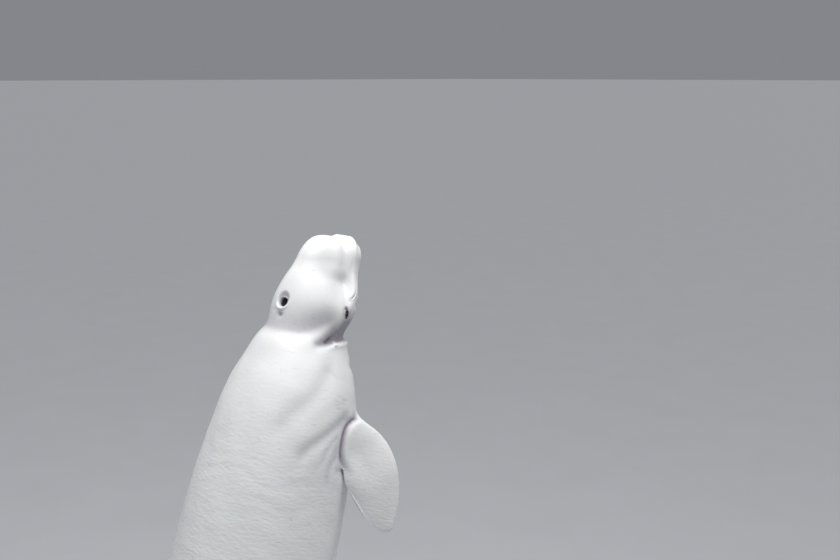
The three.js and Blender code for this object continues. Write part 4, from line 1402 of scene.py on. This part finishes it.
class BELUGA_OT_rods(bpy.types.Operator):
    """Make the stand's two rods with their feet, screws and felt collars"""

    bl_idname = "beluga.rods"
    bl_label = "Stand rods"

    def execute(self, context):
        look = context.scene.beluga_stand
        steel = steel_material(look)
        felt = pad_material()
        tree, inputs = screw_tree()
        head = screw_head()
        for name, s, radius, foot in RODS:
            low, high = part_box(f"stand_rod_{name}")
            middle = (low + high) / 2
            rod = self.rod(name, middle, radius, foot, low.z, high.z + ROD_INTO_SKIN, steel)
            finish_piece(rod, "rod", f"stand_rod_{name}")
            values = {
                "Count": look.screws, "Circle radius": (radius + foot) / 2, "Screw radius": look.screw,
                "Head": head, "Finish": steel,
            }
            spot = Vector((middle.x, middle.y, low.z + FOOT_HIGH))
            values = {inputs[key].identifier: value for key, value in values.items()}
            screws = self.screws(context, name, tree, values, spot)
            finish_piece(screws, "rod")
            finish_piece(self.collar(name, s, middle, radius, felt), "rod")
        bpy.data.objects.remove(head)
        return {"FINISHED"}

    def rod(self, name, middle, radius, foot, low, top, steel):
        """A rod and the round foot under it, with small bevels."""
        foot_top = low + FOOT_HIGH
        profile = (
            (0, low), (foot, low), (foot, foot_top - FOOT_BEVEL),
            (foot - SOFT * FOOT_BEVEL, foot_top - SOFT * FOOT_BEVEL),
            (foot - FOOT_BEVEL, foot_top), (radius + FOOT_WELD, foot_top),
            (radius + SOFT * FOOT_WELD, foot_top + SOFT * FOOT_WELD),
            (radius, foot_top + FOOT_WELD), (radius, top), (0, top),
        )
        points, faces = turned(profile, ROD_STEPS)
        points += np.array([middle.x, middle.y, 0])
        piece = new_piece(f"stand_rod_{name}_steel", points, faces, [steel])
        faced_out(piece)
        piece.data.shade_smooth()
        return piece

    def screws(self, context, name, tree, values, spot):
        """The screws of one foot, from the node tree, kept as plain mesh."""
        piece = placed(f"stand_screws_{name}", bpy.data.meshes.new("screws"))
        modifier = piece.modifiers.new("Screws", "NODES")
        modifier.node_group = tree
        for key, value in values.items():
            modifier[key] = value
        context.view_layer.update()
        graph = context.evaluated_depsgraph_get()
        mesh = bpy.data.meshes.new_from_object(piece.evaluated_get(graph))
        piece.modifiers.clear()
        mesh.transform(Matrix.Translation(spot))
        piece.data = mesh
        return piece

    def collar(self, name, s, middle, radius, felt):
        """A felt sleeve round the rod's top, cut to the slope of the belly."""
        points = []
        faces = []
        for row, (grow, down) in enumerate(COLLAR):
            one = row * ROD_STEPS
            other = (row + 1) % len(COLLAR) * ROD_STEPS
            for i in range(ROD_STEPS):
                turn = 2 * math.pi * i / ROD_STEPS
                x = middle.x + (radius + grow) * math.cos(turn)
                y = middle.y + (radius + grow) * math.sin(turn)
                points.append((x, y, belly_height(s, x, y) - down))
                after = (i + 1) % ROD_STEPS
                faces.append((one + i, one + after, other + after, other + i))
        piece = new_piece(f"stand_collar_{name}", points, faces, [felt])
        faced_out(piece)
        return piece


BELLY_SPAN = 260
BELLY_SAMPLES = 105


def belly_height(s, x, y):
    """Height of the belly's skin over a point of the floor, near station s."""
    stations = np.linspace(s - BELLY_SPAN, s + BELLY_SPAN, BELLY_SAMPLES)
    across = np.full(BELLY_SAMPLES, abs(x) / MM)
    width = TRUNK_SIDE(stations)
    reach = TRUNK_BELLY(stations)
    deep = reach * np.maximum(1 - (across / width) ** TRUNK_SQUARENESS, 0) ** (1 / TRUNK_SQUARENESS)
    line = posed(np.stack([stations, across, -deep], 1))
    order = np.argsort(line[:, 1])
    return float(np.interp(y, line[order, 1], line[order, 2]))


# The photo's framing, in its pixels and metres
FRAME_WIDE = 840
FRAME_HIGH = 560
CAMERA_TURN = 47.133
CAMERA_DOWN = 10.0
BEAK_PIXEL = (333.71, 232.16)
BEAK_AWAY = 6.1408
FOCAL_PIXELS = 1167.0
SENSOR_WIDE = 36.0
VIEW_FAR = 3000


class BELUGA_OT_camera(bpy.types.Operator):
    """Set the camera at the photo's viewing angle"""

    bl_idname = "beluga.camera"
    bl_label = "Camera"

    def execute(self, context):
        look = context.scene.beluga_stage
        turn = math.radians(CAMERA_TURN)
        down = math.radians(CAMERA_DOWN)
        back = Vector((math.sin(turn) * math.cos(down), -math.cos(turn) * math.cos(down), math.sin(down)))
        right = (-back).cross(Vector((0, 0, 1))).normalized()
        up = back.cross(right)
        across = (BEAK_PIXEL[0] - FRAME_WIDE / 2) * BEAK_AWAY / FOCAL_PIXELS
        below = (BEAK_PIXEL[1] - FRAME_HIGH / 2) * BEAK_AWAY / FOCAL_PIXELS
        beak = Vector((0, BEAK_TIP["y"] * MM, BEAK_TIP["z"] * MM))
        spot = beak + back * BEAK_AWAY - right * across + up * below
        data = bpy.data.cameras.new("photo_camera")
        data.lens = look.lens
        data.sensor_width = SENSOR_WIDE
        data.clip_end = VIEW_FAR
        camera = placed("photo_camera", data)
        camera.matrix_world = Matrix.Translation(spot) @ Matrix((right, up, back)).transposed().to_4x4()
        context.scene.camera = camera
        return {"FINISHED"}


FLOOR_REACH = 900
FLOOR_Z = -0.001
KEY_AT = (0.3, -0.6, 9.5)
KEY_WIDE = 7.0
SUN_AT = (0, 0, 12)
SUN_FROM = (0.26, 0.25, 0.93)
SUN_SOFT = math.radians(50)


class BELUGA_OT_stage(bpy.types.Operator):
    """Lay the pale floor and set the soft studio light"""

    bl_idname = "beluga.stage"
    bl_label = "Stage"

    def execute(self, context):
        look = context.scene.beluga_stage
        corners = ((-1, -1), (1, -1), (1, 1), (-1, 1))
        points = [(x * FLOOR_REACH, y * FLOOR_REACH, FLOOR_Z) for x, y in corners]
        floor = new_piece("studio_floor", points, [(0, 1, 2, 3)], [floor_material(look)])
        self.light("key", "AREA", KEY_AT, look.key, size=KEY_WIDE)
        self.light("floor", "SUN", SUN_AT, look.floor_light, angle=SUN_SOFT, source=SUN_FROM)
        world = bpy.data.worlds.new("Studio air")
        world.use_nodes = True
        air = world.node_tree.nodes["Background"]
        air.inputs["Color"].default_value = rgba(look.air)
        air.inputs["Strength"].default_value = look.air_strength
        context.scene.world = world
        context.scene.view_settings.view_transform = "Standard"
        return {"FINISHED"}

    def light(self, name, kind, spot, power, size=None, angle=None, source=(0, 0, 1)):
        """A soft light that shines from the side its source points to, straight down if none is given."""
        data = bpy.data.lights.new(f"{name}_light", kind)
        data.energy = power
        if size:
            data.shape = "DISK"
            data.size = size
        if angle:
            data.angle = angle
        facing = Vector(source).to_track_quat("Z", "Y").to_matrix().to_4x4()
        placed(f"{name}_light", data).matrix_world = Matrix.Translation(Vector(spot)) @ facing


class BELUGA_PT_panel(bpy.types.Panel):
    """Lists the looks and the pieces in the 3D view's sidebar"""

    bl_idname = "BELUGA_PT_panel"
    bl_label = "Beluga whale"
    bl_space_type = "VIEW_3D"
    bl_region_type = "UI"
    bl_category = "Beluga"

    def draw(self, context):
        for group in (context.scene.beluga_whale, context.scene.beluga_stand, context.scene.beluga_stage):
            box = self.layout.box()
            for name in group.__annotations__:
                box.prop(group, name)
        for operator in OPERATORS:
            self.layout.operator(operator.bl_idname)


OPERATORS = (
    BELUGA_OT_skin, BELUGA_OT_eyes, BELUGA_OT_base, BELUGA_OT_rods, BELUGA_OT_camera, BELUGA_OT_stage,
)
GROUPS = {"beluga_whale": WhaleLook, "beluga_stand": StandLook, "beluga_stage": StageLook}
REGISTERED = (*GROUPS.values(), *OPERATORS, BELUGA_PT_panel)


def register():
    """Registers the looks, the operators and the panel."""
    for part in REGISTERED:
        bpy.utils.register_class(part)
    for name, group in GROUPS.items():
        setattr(bpy.types.Scene, name, PointerProperty(type=group))


def unregister():
    """Takes them out again."""
    for name in GROUPS:
        delattr(bpy.types.Scene, name)
    for part in reversed(REGISTERED):
        bpy.utils.unregister_class(part)


def main():
    """Builds the whole scene."""
    register()
    bpy.ops.beluga.skin()
    bpy.ops.beluga.eyes()
    bpy.ops.beluga.base()
    bpy.ops.beluga.rods()
    bpy.ops.beluga.camera()
    bpy.ops.beluga.stage()


if __name__ == "__main__":
    main()
